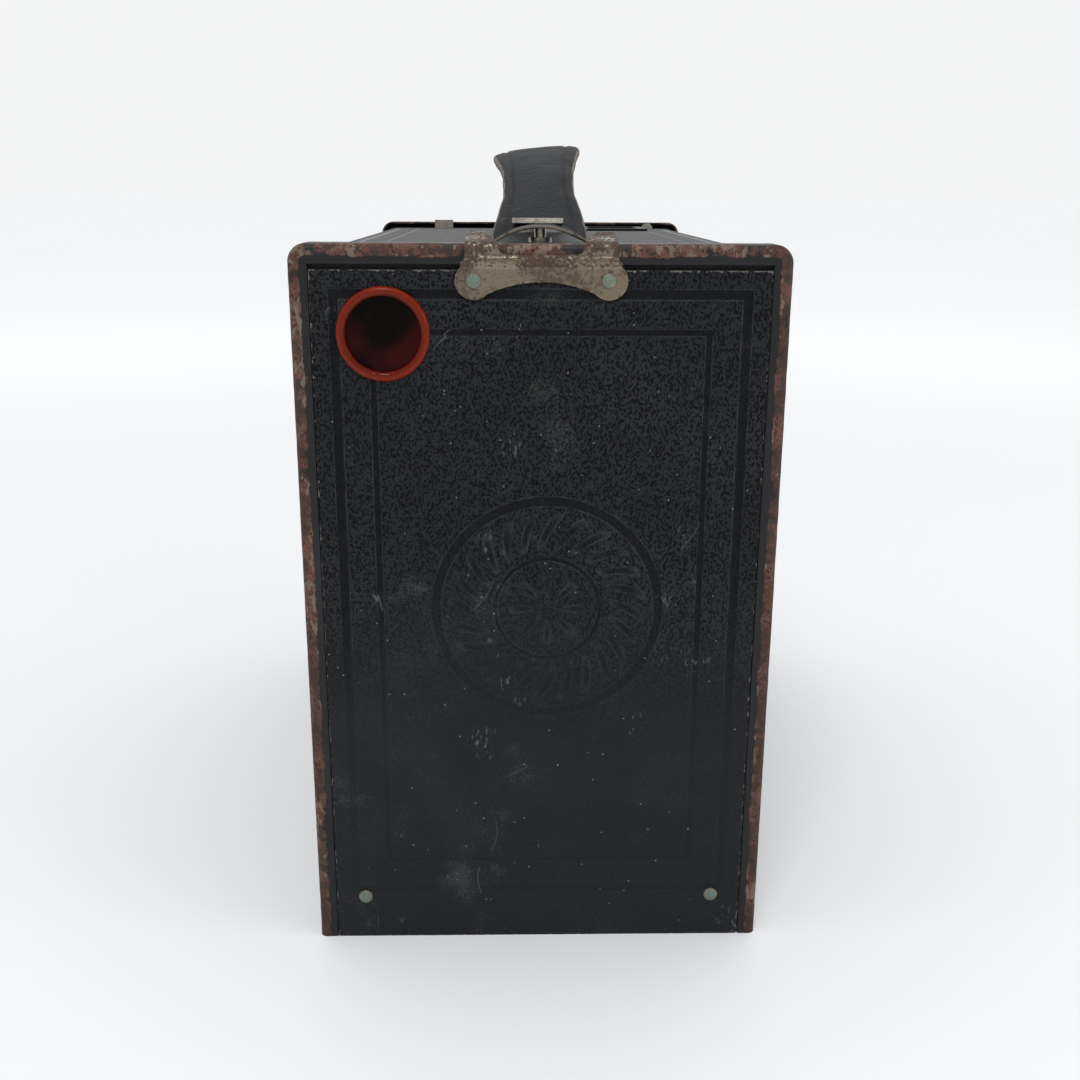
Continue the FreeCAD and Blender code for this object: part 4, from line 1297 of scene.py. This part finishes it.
@dataclass
class Covering:
    """The covering round the body, with pressed border lines on its top and sides and its openings cut."""

    node: str = "case_covering"
    corner: float = 3.0 * MM
    skin: float = 0.5 * MM
    pressed: float = 0.22 * MM
    coarse: float = 2.0 * MM
    lines: tuple[tuple[float, float], ...] = ((4.4 * MM, 0.7 * MM), (9.6 * MM, 0.35 * MM))
    slope: float = 0.3 * MM
    window_trim: float = 1.0 * MM
    slot_room: float = 0.45 * MM
    lever_room: float = 0.4 * MM
    lever_slot: tuple[float, float] = (0.033, 0.048)
    through_top: tuple[float, float] = (0.120, 0.135)
    through_side: tuple[float, float] = (0.036, 0.045)
    hinge_room: tuple[tuple[float, float, float], ...] = ((-0.06, -0.08, -0.001), (0.06, -0.0689, 0.004))
    key_hole: float = 2.85 * MM
    socket_hole: float = 4.0 * MM
    drilled: float = 6 * MM

    def stops(self, low: float, high: float) -> np.ndarray:
        """Places along a face, close together at the pressed lines.

        Args:
            low: where the face starts.
            high: where it ends.

        Returns:
            The places, in order.
        """
        places = list(np.linspace(low, high, int((high - low) / self.coarse) + 1))
        for inset, half in self.lines:
            outer, inner = half + self.slope / 2, half - self.slope / 2
            for offset in (-outer, -inner, 0, inner, outer):
                places += [low + inset + offset, high - inset - offset]
        return np.unique(np.round(places, 7))

    def ring(self, half: float, top: float) -> list[tuple[float, float, float, float, float]]:
        """The section's outline: place, outward direction and distance from the face's nearer edge.

        Args:
            half: the body's half width.
            top: its height.

        Returns:
            (x, z, outward x, outward z, inset) round the whole section.
        """
        radius = self.corner
        sides = [
            ((1, 0), [(half, z) for z in self.stops(0, top) if radius < z < top - radius]),
            ((0, 1), [(-x, top) for x in self.stops(-half, half) if abs(x) < half - radius]),
            ((-1, 0), [(-half, top - z) for z in self.stops(0, top) if radius < z < top - radius]),
            ((0, -1), [(x, 0) for x in self.stops(-half, half) if abs(x) < half - radius]),
        ]
        outline = []
        for quarter, (out, places) in enumerate(sides):
            for x, z in places:
                inset = min(z, top - z) if out[0] else half - abs(x)
                outline.append((x, z, *out, inset if quarter < 3 else -1.0))
            centre_x = (half - radius) * (1 if quarter in (0, 3) else -1)
            centre_z = top - radius if quarter in (0, 1) else radius
            for turn in np.linspace(0, math.pi / 2, 7):
                angle = quarter * math.pi / 2 + turn
                out_x, out_z = math.cos(angle), math.sin(angle)
                outline.append((centre_x + radius * out_x, centre_z + radius * out_z, out_x, out_z, 0.0))
        return outline

    def build(self) -> None:
        """Make the covering."""
        low, high = corners(self.node)
        outline = self.ring(high.x, high.z)
        rows = self.stops(low.y, high.y)
        points, wear, flat = [], [], []
        for y in rows:
            end_inset = min(y - low.y, high.y - y)
            for x, z, out_x, out_z, inset in outline:
                reach = min(inset, end_inset)
                depth = max(float(groove(reach - line, half, self.slope)) for line, half in self.lines)
                flat.append(depth)
                depth *= self.pressed
                points.append((x - out_x * depth, y, z - out_z * depth))
                wear.append(max(0.58 if inset == 0 else 0.0, 0.8 * (1 - end_inset / (2 * MM))))
        for y in (rows[-1], rows[0]):
            for x, z, out_x, out_z, _ in outline:
                points.append((x - out_x * self.skin, y, z - out_z * self.skin))
        wear += [0.0] * (2 * len(outline))
        flat += [0.0] * (2 * len(outline))
        count, rings = len(outline), len(rows) + 2
        faces = quads(rings, count, wrap=True)
        last = (rings - 1) * count
        faces += [(last + i, last + (i + 1) % count, (i + 1) % count, i) for i in range(count)]
        piece = add_piece("covering_wrapped", np.array(points), faces, np.array(wear), pressed=np.array(flat))
        carve(piece, self.openings())
        fitted(piece, "case", "body_leatherette", [self.node])

    def openings(self) -> list[bpy.types.Object]:
        """Make the tools that cut windows, slots, key hole, sockets and room for the hinge.

        Returns:
            The tools.
        """
        tools = []
        for node, along, room in (
            ("top_finder_bezel", 2, -self.window_trim),
            ("side_finder_bezel", 0, -self.window_trim),
            ("aperture_slide", 2, self.slot_room),
            ("time_slide", 2, self.slot_room),
        ):
            low, high = corners(node)
            low -= Vector((room, room, room))
            high += Vector((room, room, room))
            low[along], high[along] = self.through_top if along == 2 else self.through_side
            tools.append(block(low, high))
        low, high = corners("shutter_lever")
        (inner, outer), (foot, head) = self.through_side, self.lever_slot
        room = self.lever_room
        tools.append(block(Vector((inner, low.y - room, foot)), Vector((outer, high.y + room, head))))
        tools.append(block(*map(Vector, self.hinge_room)))
        reach = self.drilled
        for node, axis, radius in (
            ("key_bush", Vector((1, 0, 0)), self.key_hole),
            ("tripod_socket_base", Vector((0, 0, 1)), self.socket_hole),
            ("tripod_socket_side", Vector((1, 0, 0)), self.socket_hole),
        ):
            drill = [(radius, -reach, 0), (radius, reach, 0), (0, reach, 0), (0, -reach, 0)]
            tools.append(lathe("tool", drill, middle(node), axis, 40))
        return tools


def block(low: Vector, high: Vector) -> bpy.types.Object:
    """A box between two corners.

    Args:
        low: its lowest corner.
        high: its highest corner.

    Returns:
        The box.
    """
    points = [(x, y, z) for x in (low.x, high.x) for y in (low.y, high.y) for z in (low.z, high.z)]
    faces = [(0, 1, 3, 2), (4, 6, 7, 5), (0, 4, 5, 1), (2, 3, 7, 6), (0, 2, 6, 4), (1, 5, 7, 3)]
    return add_piece("tool", np.array(points), faces, smooth=False)


def carve(piece: bpy.types.Object, tools: Sequence[bpy.types.Object]) -> None:
    """Cut tools out of a piece, then throw them away.

    Args:
        piece: the piece.
        tools: the tools.
    """
    for tool in tools:
        modified(piece, "BOOLEAN", object=tool, operation="DIFFERENCE", solver="EXACT")
    settled(piece)
    for tool in tools:
        bpy.data.objects.remove(tool)


@dataclass
class Latch:
    """The spring latch: one sheet, riveted to the door, whose two arms bend over the rim."""

    metal: float = 0.4 * MM
    lobe: float = 3.1 * MM
    lobe_out: float = 11.1 * MM
    lobe_high: float = 122.8 * MM
    scoop: float = 21.3 * MM
    scoop_top: float = 122.6 * MM
    cut: float = 127.0 * MM
    arm_in: float = 7.2 * MM
    tip_in: float = 9.3 * MM
    arm_out: float = 12.5 * MM
    bend_start: float = 127.9 * MM
    bend: float = 1.0 * MM
    reach: float = 9.1 * MM
    rise: float = 1.25 * MM
    crook: float = 1.2 * MM
    crook_high: float = 126.9 * MM
    tip: float = 0.9 * MM
    cut_round: float = 1.6 * MM
    cut_slant: tuple[float, float] = (0.3 * MM, 4 * MM)
    ridge_high: float = 125.9 * MM
    ridge_half: float = 0.6 * MM
    ridge: float = 0.28 * MM
    flexes: tuple[float, float] = (126.2 * MM, 127.9 * MM)

    def outline(self) -> list[tuple[float, float]]:
        """The flat sheet's outline, in width and length along the sheet.

        Returns:
            Its points, round the whole sheet.
        """
        end = self.bend_start + self.bend * math.pi / 2 + self.reach
        tip, crook, cut = self.tip, self.crook, self.cut_round
        slant_in, slant_up = self.cut_slant
        right = [
            *arc((0, self.scoop_top - self.scoop), self.scoop, 90, 66, 12),
            *arc((self.lobe_out, self.lobe_high), self.lobe, -135, 48, 26),
            *arc((self.arm_out + crook, self.crook_high), crook, 250, 180, 8),
            *arc((self.arm_out - tip, end - tip), tip, 0, 90, 7),
            *arc((self.tip_in + tip, end - tip), tip, 90, 180, 7),
            (self.arm_in + slant_in, self.cut + slant_up),
            *arc((self.arm_in - cut, self.cut + cut), cut, 0, -90, 8),
        ]
        return right + [(-x, v) for x, v in reversed(right) if x > 1e-6]

    def bent(self, x: float, v: float) -> Vector:
        """Where a point of the flat sheet lies on the camera.

        Args:
            x: its place across.
            v: its place along the sheet.

        Returns:
            The place.
        """
        back = corners("latch_plate")[0].y + self.metal / 2
        start, bend = self.bend_start, self.bend
        if v <= start:
            ridge = float(groove(v - self.ridge_high, self.ridge_half, 0.8 * MM)) * self.ridge
            return Vector((x, back - ridge, v))
        turned = (v - start) / bend
        if turned <= math.pi / 2:
            return Vector((x, back + bend * (1 - math.cos(turned)), start + bend * math.sin(turned)))
        along = v - start - bend * math.pi / 2
        return Vector((x, back + bend + along, start + bend + self.rise * (along / self.reach) ** 1.4))

    def build(self) -> None:
        """Cut the sheet out, bend it, give it its finish and leave it on no body."""
        shell = bmesh.new()
        edges = outlined(shell, [(x, 0, v) for x, v in self.outline()])
        bmesh.ops.triangle_fill(shell, use_beauty=True, edges=edges)
        slices = [((0, 0, v), (0, 0, 1)) for v in np.arange(119.5 * MM, 139.5 * MM, 0.32 * MM)]
        slices += [((x, 0, 0), (1, 0, 0)) for x in np.arange(-14 * MM, 14.1 * MM, 1.0 * MM)]
        for place, normal in slices:
            everything = [*shell.verts, *shell.edges, *shell.faces]
            bmesh.ops.bisect_plane(shell, geom=everything, plane_co=place, plane_no=normal)
        rim = {vert for edge in shell.edges if edge.is_boundary for vert in edge.verts}
        points = [self.bent(vert.co.x, vert.co.z) for vert in shell.verts]
        order = {vert: number for number, vert in enumerate(shell.verts)}
        faces = [tuple(order[vert] for vert in face.verts) for face in shell.faces]
        wear = [0.85 if vert in rim else 0.3 + 0.45 * (vert.co.z > 125 * MM) for vert in shell.verts]
        shell.free()
        piece = add_piece("latch_spring_sheet", np.array(points), faces, np.array(wear))
        modified(piece, "SOLIDIFY", thickness=self.metal, offset=0.0)
        soften(piece, 0.09 * MM, 50)
        settled(piece)
        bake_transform(piece)
        fitted(piece, "door", "latch_nickel", ["latch_plate", "latch_arms"], blended=True)


@dataclass
class Strap:
    """The leather carrying strap, arched across and bowed between its two posts."""

    foot_thick: float = 0.8 * MM
    grip_thick: float = 2.0 * MM
    foot_half: float = 8.3 * MM
    waist_half: float = 6.4 * MM
    grip_half: float = 8.6 * MM
    foot_arch: float = 2.9 * MM
    grip_arch: float = 0.4 * MM
    tongue: float = 5.0 * MM
    low: float = 131.25 * MM
    rise: float = 13.4 * MM
    twist: float = 0.10
    stations: int = 200
    across: int = 56
    line: float = 0.70
    line_half: float = 0.045
    line_deep: float = 0.20 * MM

    def build(self) -> None:
        """Sweep the section along the bow."""
        rear, front = middle("strap_post_rear").y, middle("strap_post_front").y
        span = front - rear
        places = np.linspace(rear - self.tongue, front + self.tongue, self.stations)
        sides = np.linspace(-1, 1, self.across)
        points, wear, flat = [], [], []
        for y in places:
            share = (y - rear) / span
            nearer = min(share, 1 - share)
            bow = math.sin(math.pi * min(max(share, 0), 1))
            foot, waist, grip = self.foot_half, self.waist_half, self.grip_half
            half = float(np.interp(nearer, (0.02, 0.13, 0.24, 0.40), (foot, waist, waist + 0.3 * MM, grip)))
            arch = float(np.interp(nearer, (0, 0.10, 0.35), (self.foot_arch, 1.6 * MM, self.grip_arch)))
            full = float(np.interp(nearer, (0.02, 0.2), (self.foot_thick, self.grip_thick)))
            end = max(0.0, 1 - (self.tongue + nearer * span) / (1.5 * MM))
            for face, order in ((1, sides), (-1, sides[::-1])):
                for side in order:
                    edge = 1 - abs(side)
                    thick = full * (0.45 + 0.55 * math.sqrt(min(1.0, edge / 0.3))) * (1 - 0.35 * end)
                    line = float(groove(abs(side) - self.line, self.line_half, 0.04)) * (face > 0)
                    height = self.low + self.rise * bow**0.9 - arch * side * side + face * thick / 2
                    height -= self.line_deep * line * min(1.0, max(0.0, nearer * 12))
                    across = side * half
                    wobble = 0.16 * MM * noise.noise(Vector((across, y, 0)) / (5 * MM))
                    points.append((across + wobble, y, height + self.twist * bow * across + wobble))
                    wear.append(min(1.0, max(0.0, (0.10 - edge) / 0.10) + 0.8 * end))
                    flat.append(line)
        count = 2 * self.across
        faces = quads(len(places), count, wrap=True)
        for start in (0, (len(places) - 1) * count):
            last = start + count - 1
            faces += [(start + i, start + i + 1, last - 1 - i, last - i) for i in range(self.across - 1)]
        piece = add_piece("strap_bowed", np.array(points), faces, np.array(wear), pressed=np.array(flat))
        fitted(piece, "case", "strap_leather", ["carry_strap"])


@dataclass
class Rivets:
    """A pair of domed rivet heads."""

    node: str
    radius: float = 1.35 * MM
    proud: float = 0.6 * MM

    def build(self) -> None:
        """Turn both heads and join them."""
        low, high = corners(self.node)
        # The third values rise towards each head's edge and foot, where the finish turns browner: partly
        # tarnish, partly painted shade round the head.
        dome = [
            (self.radius * math.sin(turn), self.proud * (math.cos(turn) - 0.08), 0.3 + 0.5 * math.sin(turn))
            for turn in np.linspace(0, math.pi / 2, 10)
        ]
        dome += [(self.radius * 0.94, -0.1 * MM, 1.0), (0, -0.1 * MM, 1.0)]
        shell = bmesh.new()
        for x in (low.x + self.radius, high.x - self.radius):
            centre = Vector((x, low.y + self.proud, (low.z + high.z) / 2))
            head = lathe("head", dome, centre, Vector((0, -1, 0)), 40, 0.05 * MM)
            shell.from_mesh(head.data)
            bpy.data.objects.remove(head)
        pair = add_piece(f"{self.node}_domed", np.zeros((0, 3)), [])
        shell.to_mesh(pair.data)
        shell.free()
        pair.data.polygons.foreach_set("use_smooth", [True] * len(pair.data.polygons))
        fitted(pair, "door", "verdigris_rivet", [self.node])


@dataclass
class RedWindow:
    """The flared glossy ring round the red window."""

    node: str = "window_ring"
    outside: float = 7.8 * MM
    clear: float = 6.2 * MM
    proud: float = 1.3 * MM

    def build(self) -> None:
        """Turn the ring."""
        low, high = corners(self.node)
        centre = Vector(((low.x + high.x) / 2, high.y, (low.z + high.z) / 2))
        across = self.outside - self.clear
        # The third values set the red ring's painted highlight: strongest at the outer edge, least at the
        # inner edge.
        profile = [(self.outside, 0, 0.3), (self.outside, 0.3 * self.proud, 0.9)]
        for out, up in arc((0, 0), 1, 8, 172, 15):
            radius = self.clear + across * (0.5 + 0.5 * out)
            profile.append((radius, self.proud * (0.3 + 0.7 * up**0.8), 0.55 + 0.45 * out))
        profile += [(self.clear, 0.15 * self.proud, 0.1), (self.clear, 0, 0.0)]
        ring = lathe("window_flared_ring", profile, centre, Vector((0, -1, 0)), 96, 0.05 * MM)
        fitted(ring, "door", "red_celluloid", [self.node])


@dataclass(frozen=True)
class Lamp:
    """A square soft light."""

    name: str
    place: tuple[float, float, float]
    aim: tuple[float, float, float]
    side: float
    power: float

    def build(self) -> None:
        """Hang the light and point it."""
        lamp = bpy.data.lights.new(self.name, "AREA")
        lamp.size, lamp.energy = self.side, self.power
        light = placed(self.name, lamp)
        light.location = self.place
        light.rotation_euler = (Vector(self.aim) - Vector(self.place)).to_track_quat("-Z", "Y").to_euler()


@dataclass
class Bench:
    """The floor, the sky, the lights and the camera."""

    floor_half: float = 30.0
    floor: tuple[Colour, Colour] = ((0.80, 0.807, 0.82), (0.84, 0.847, 0.858))
    # The floor's glow is painted light: faint near the piece, a painted shade beside it, and stronger far
    # out.
    painted_floor_glow: tuple[Colour, Colour] = ((0.055, 0.056, 0.058), (0.236, 0.236, 0.236))
    painted_glow_reach: tuple[float, float] = (0.10, 0.80)
    sky: Colour = (0.90, 0.905, 0.912)
    lamps: tuple[Lamp, ...] = (
        Lamp("light_above", (0.0, 0.10, 1.10), (0.0, 0.0, 0.05), 1.0, 1.6),
        Lamp("light_before_back", (-0.12, -0.62, 0.85), (0.0, -0.05, 0.09), 0.3, 2.6),
        Lamp("light_right", (0.9, -0.45, 0.45), (0.0, 0.0, 0.06), 0.5, 1.0),
    )
    place: tuple[float, float, float] = (-0.00423, -0.27725, 0.13672)
    yaw: float = -1.19
    down: float = 16.06
    roll: float = 0.27
    lens: float = 40.25

    def build(self) -> None:
        """Set up the stage."""
        self._floor()
        self._sky()
        bpy.context.scene.view_settings.view_transform = "Standard"
        for lamp in self.lamps:
            lamp.build()
        camera = placed("camera", bpy.data.cameras.new("camera"))
        camera.data.lens = self.lens
        camera.data.clip_start = 0.01
        yaw, tilt, roll = (math.radians(angle) for angle in (self.yaw, 90 - self.down, self.roll))
        turn = Matrix.Rotation(yaw, 4, "Z") @ Matrix.Rotation(tilt, 4, "X") @ Matrix.Rotation(roll, 4, "Z")
        camera.matrix_world = Matrix.Translation(self.place) @ turn
        bpy.context.scene.camera = camera

    def _floor(self) -> None:
        """A wide pale floor with painted light: it glows faintly round the piece and beyond it, a painted
        shade beside the piece, and more further out, so that it runs into the sky.
        """
        half = self.floor_half
        points = np.array([(-half, -half, 0), (half, -half, 0), (half, half, 0), (-half, half, 0)])
        floor = add_piece("floor", points, [(0, 1, 2, 3)], smooth=False)
        recipe = Recipe("pale_floor")
        inputs = {0: recipe.place, 1: (0.75, 1.0, 1.0), 2: (0.0, -0.12, 0.0)}
        moved = recipe.add("ShaderNodeVectorMath", {"operation": "MULTIPLY_ADD"}, inputs)
        distance = recipe.add("ShaderNodeVectorMath", {"operation": "LENGTH"}, {0: recipe.out(moved)})
        # Painted light: the floor glows more the further it is from a spot just beyond the piece.
        painted_glow_share = recipe.out(distance, "Value").ramp(*self.painted_glow_reach)
        finish = recipe.finish(
            Base_Color=recipe.mix(recipe.noise(0.25, 3.0), *self.floor),
            Roughness=0.9,
            Specular_IOR_Level=0.1,
            Emission_Color=recipe.mix(painted_glow_share, *self.painted_floor_glow),
            Emission_Strength=1.0,
        )
        floor.data.materials.append(finish)

    def _sky(self) -> None:
        """A pale sky all round, dimmer on the side that the hinged back faces."""
        world = bpy.data.worlds.new("studio")
        world.use_nodes = True
        sheet = Sheet(world.node_tree)
        place = sheet.out(sheet.add("ShaderNodeTexCoord", {}, {}), "Generated")
        forward = sheet.out(sheet.add("ShaderNodeSeparateXYZ", {}, {0: place}), 1)
        inputs = {"Color": self.sky, "Strength": forward.ramp(-1.0, 0.1) * 0.5 + 0.5}
        background = sheet.add("ShaderNodeBackground", {}, inputs)
        sheet.add("ShaderNodeOutputWorld", {}, {"Surface": sheet.out(background)})
        bpy.context.scene.world = world


SOFT_EDGES = {
    "case_box": 0.15 * MM,
    "front_board": 0.3 * MM,
    "winding_key": 0.35 * MM,
    "shutter_lever": 0.2 * MM,
    "aperture_slide": 0.12 * MM,
    "time_slide": 0.12 * MM,
    "strap_post_rear": 0.2 * MM,
    "strap_post_front": 0.2 * MM,
}


def dress_frame() -> None:
    """Give every node of the frame that shows its finish and slightly rounded edges."""
    for part in frame["record"]["subparts"]:
        node = frame["nodes"][part["node"]]
        node.data.materials.clear()
        finish = "nickel" if part["node"].startswith("strap_post") else part["material_slot"]
        node.data.materials.append(FINISHES[finish].material())
        soften(node, SOFT_EDGES.get(part["node"], 0.06 * MM))


def main() -> None:
    """Dress the frame and build each piece in turn."""
    logging.basicConfig(level=logging.INFO, format="%(name)s: %(message)s")
    noise.seed_set(SEED)
    dress_frame()
    window, rivets, lens = middle("window_ring"), middle("door_rivets"), middle("lens_ring")
    rivet_x = corners("door_rivets")[1].x - Rivets.radius
    back_holes = [(window.x, window.z, 7.0 * MM)]
    back_holes += [(side * rivet_x, rivets.z, 0.9 * MM) for side in (-1, 1)]
    eyes = [middle("top_finder_lens"), middle("side_finder_lens")]
    front_holes = [(lens.x, lens.z, 7.0 * MM)] + [(eye.x, eye.z, 4.6 * MM) for eye in eyes]
    Pan(End.BACK, "door_pan", "door", "door_covering", back_holes).build()
    Pan(End.FRONT, "front_pan", "case", "front_covering", front_holes).build()
    medal = (1.3 * MM, 66 * MM)
    PressedPanel(End.BACK, "door_covering", "door", back_holes[:1], 0.36 * MM, medal=medal).build()
    PressedPanel(End.FRONT, "front_covering", "case", front_holes, 0.5 * MM).build()
    Covering().build()
    Latch().build()
    Strap().build()
    RedWindow().build()
    Rivets("door_rivets").build()
    Rivets("latch_rivets").build()
    Bench().build()


if __name__ == "__main__":
    main()
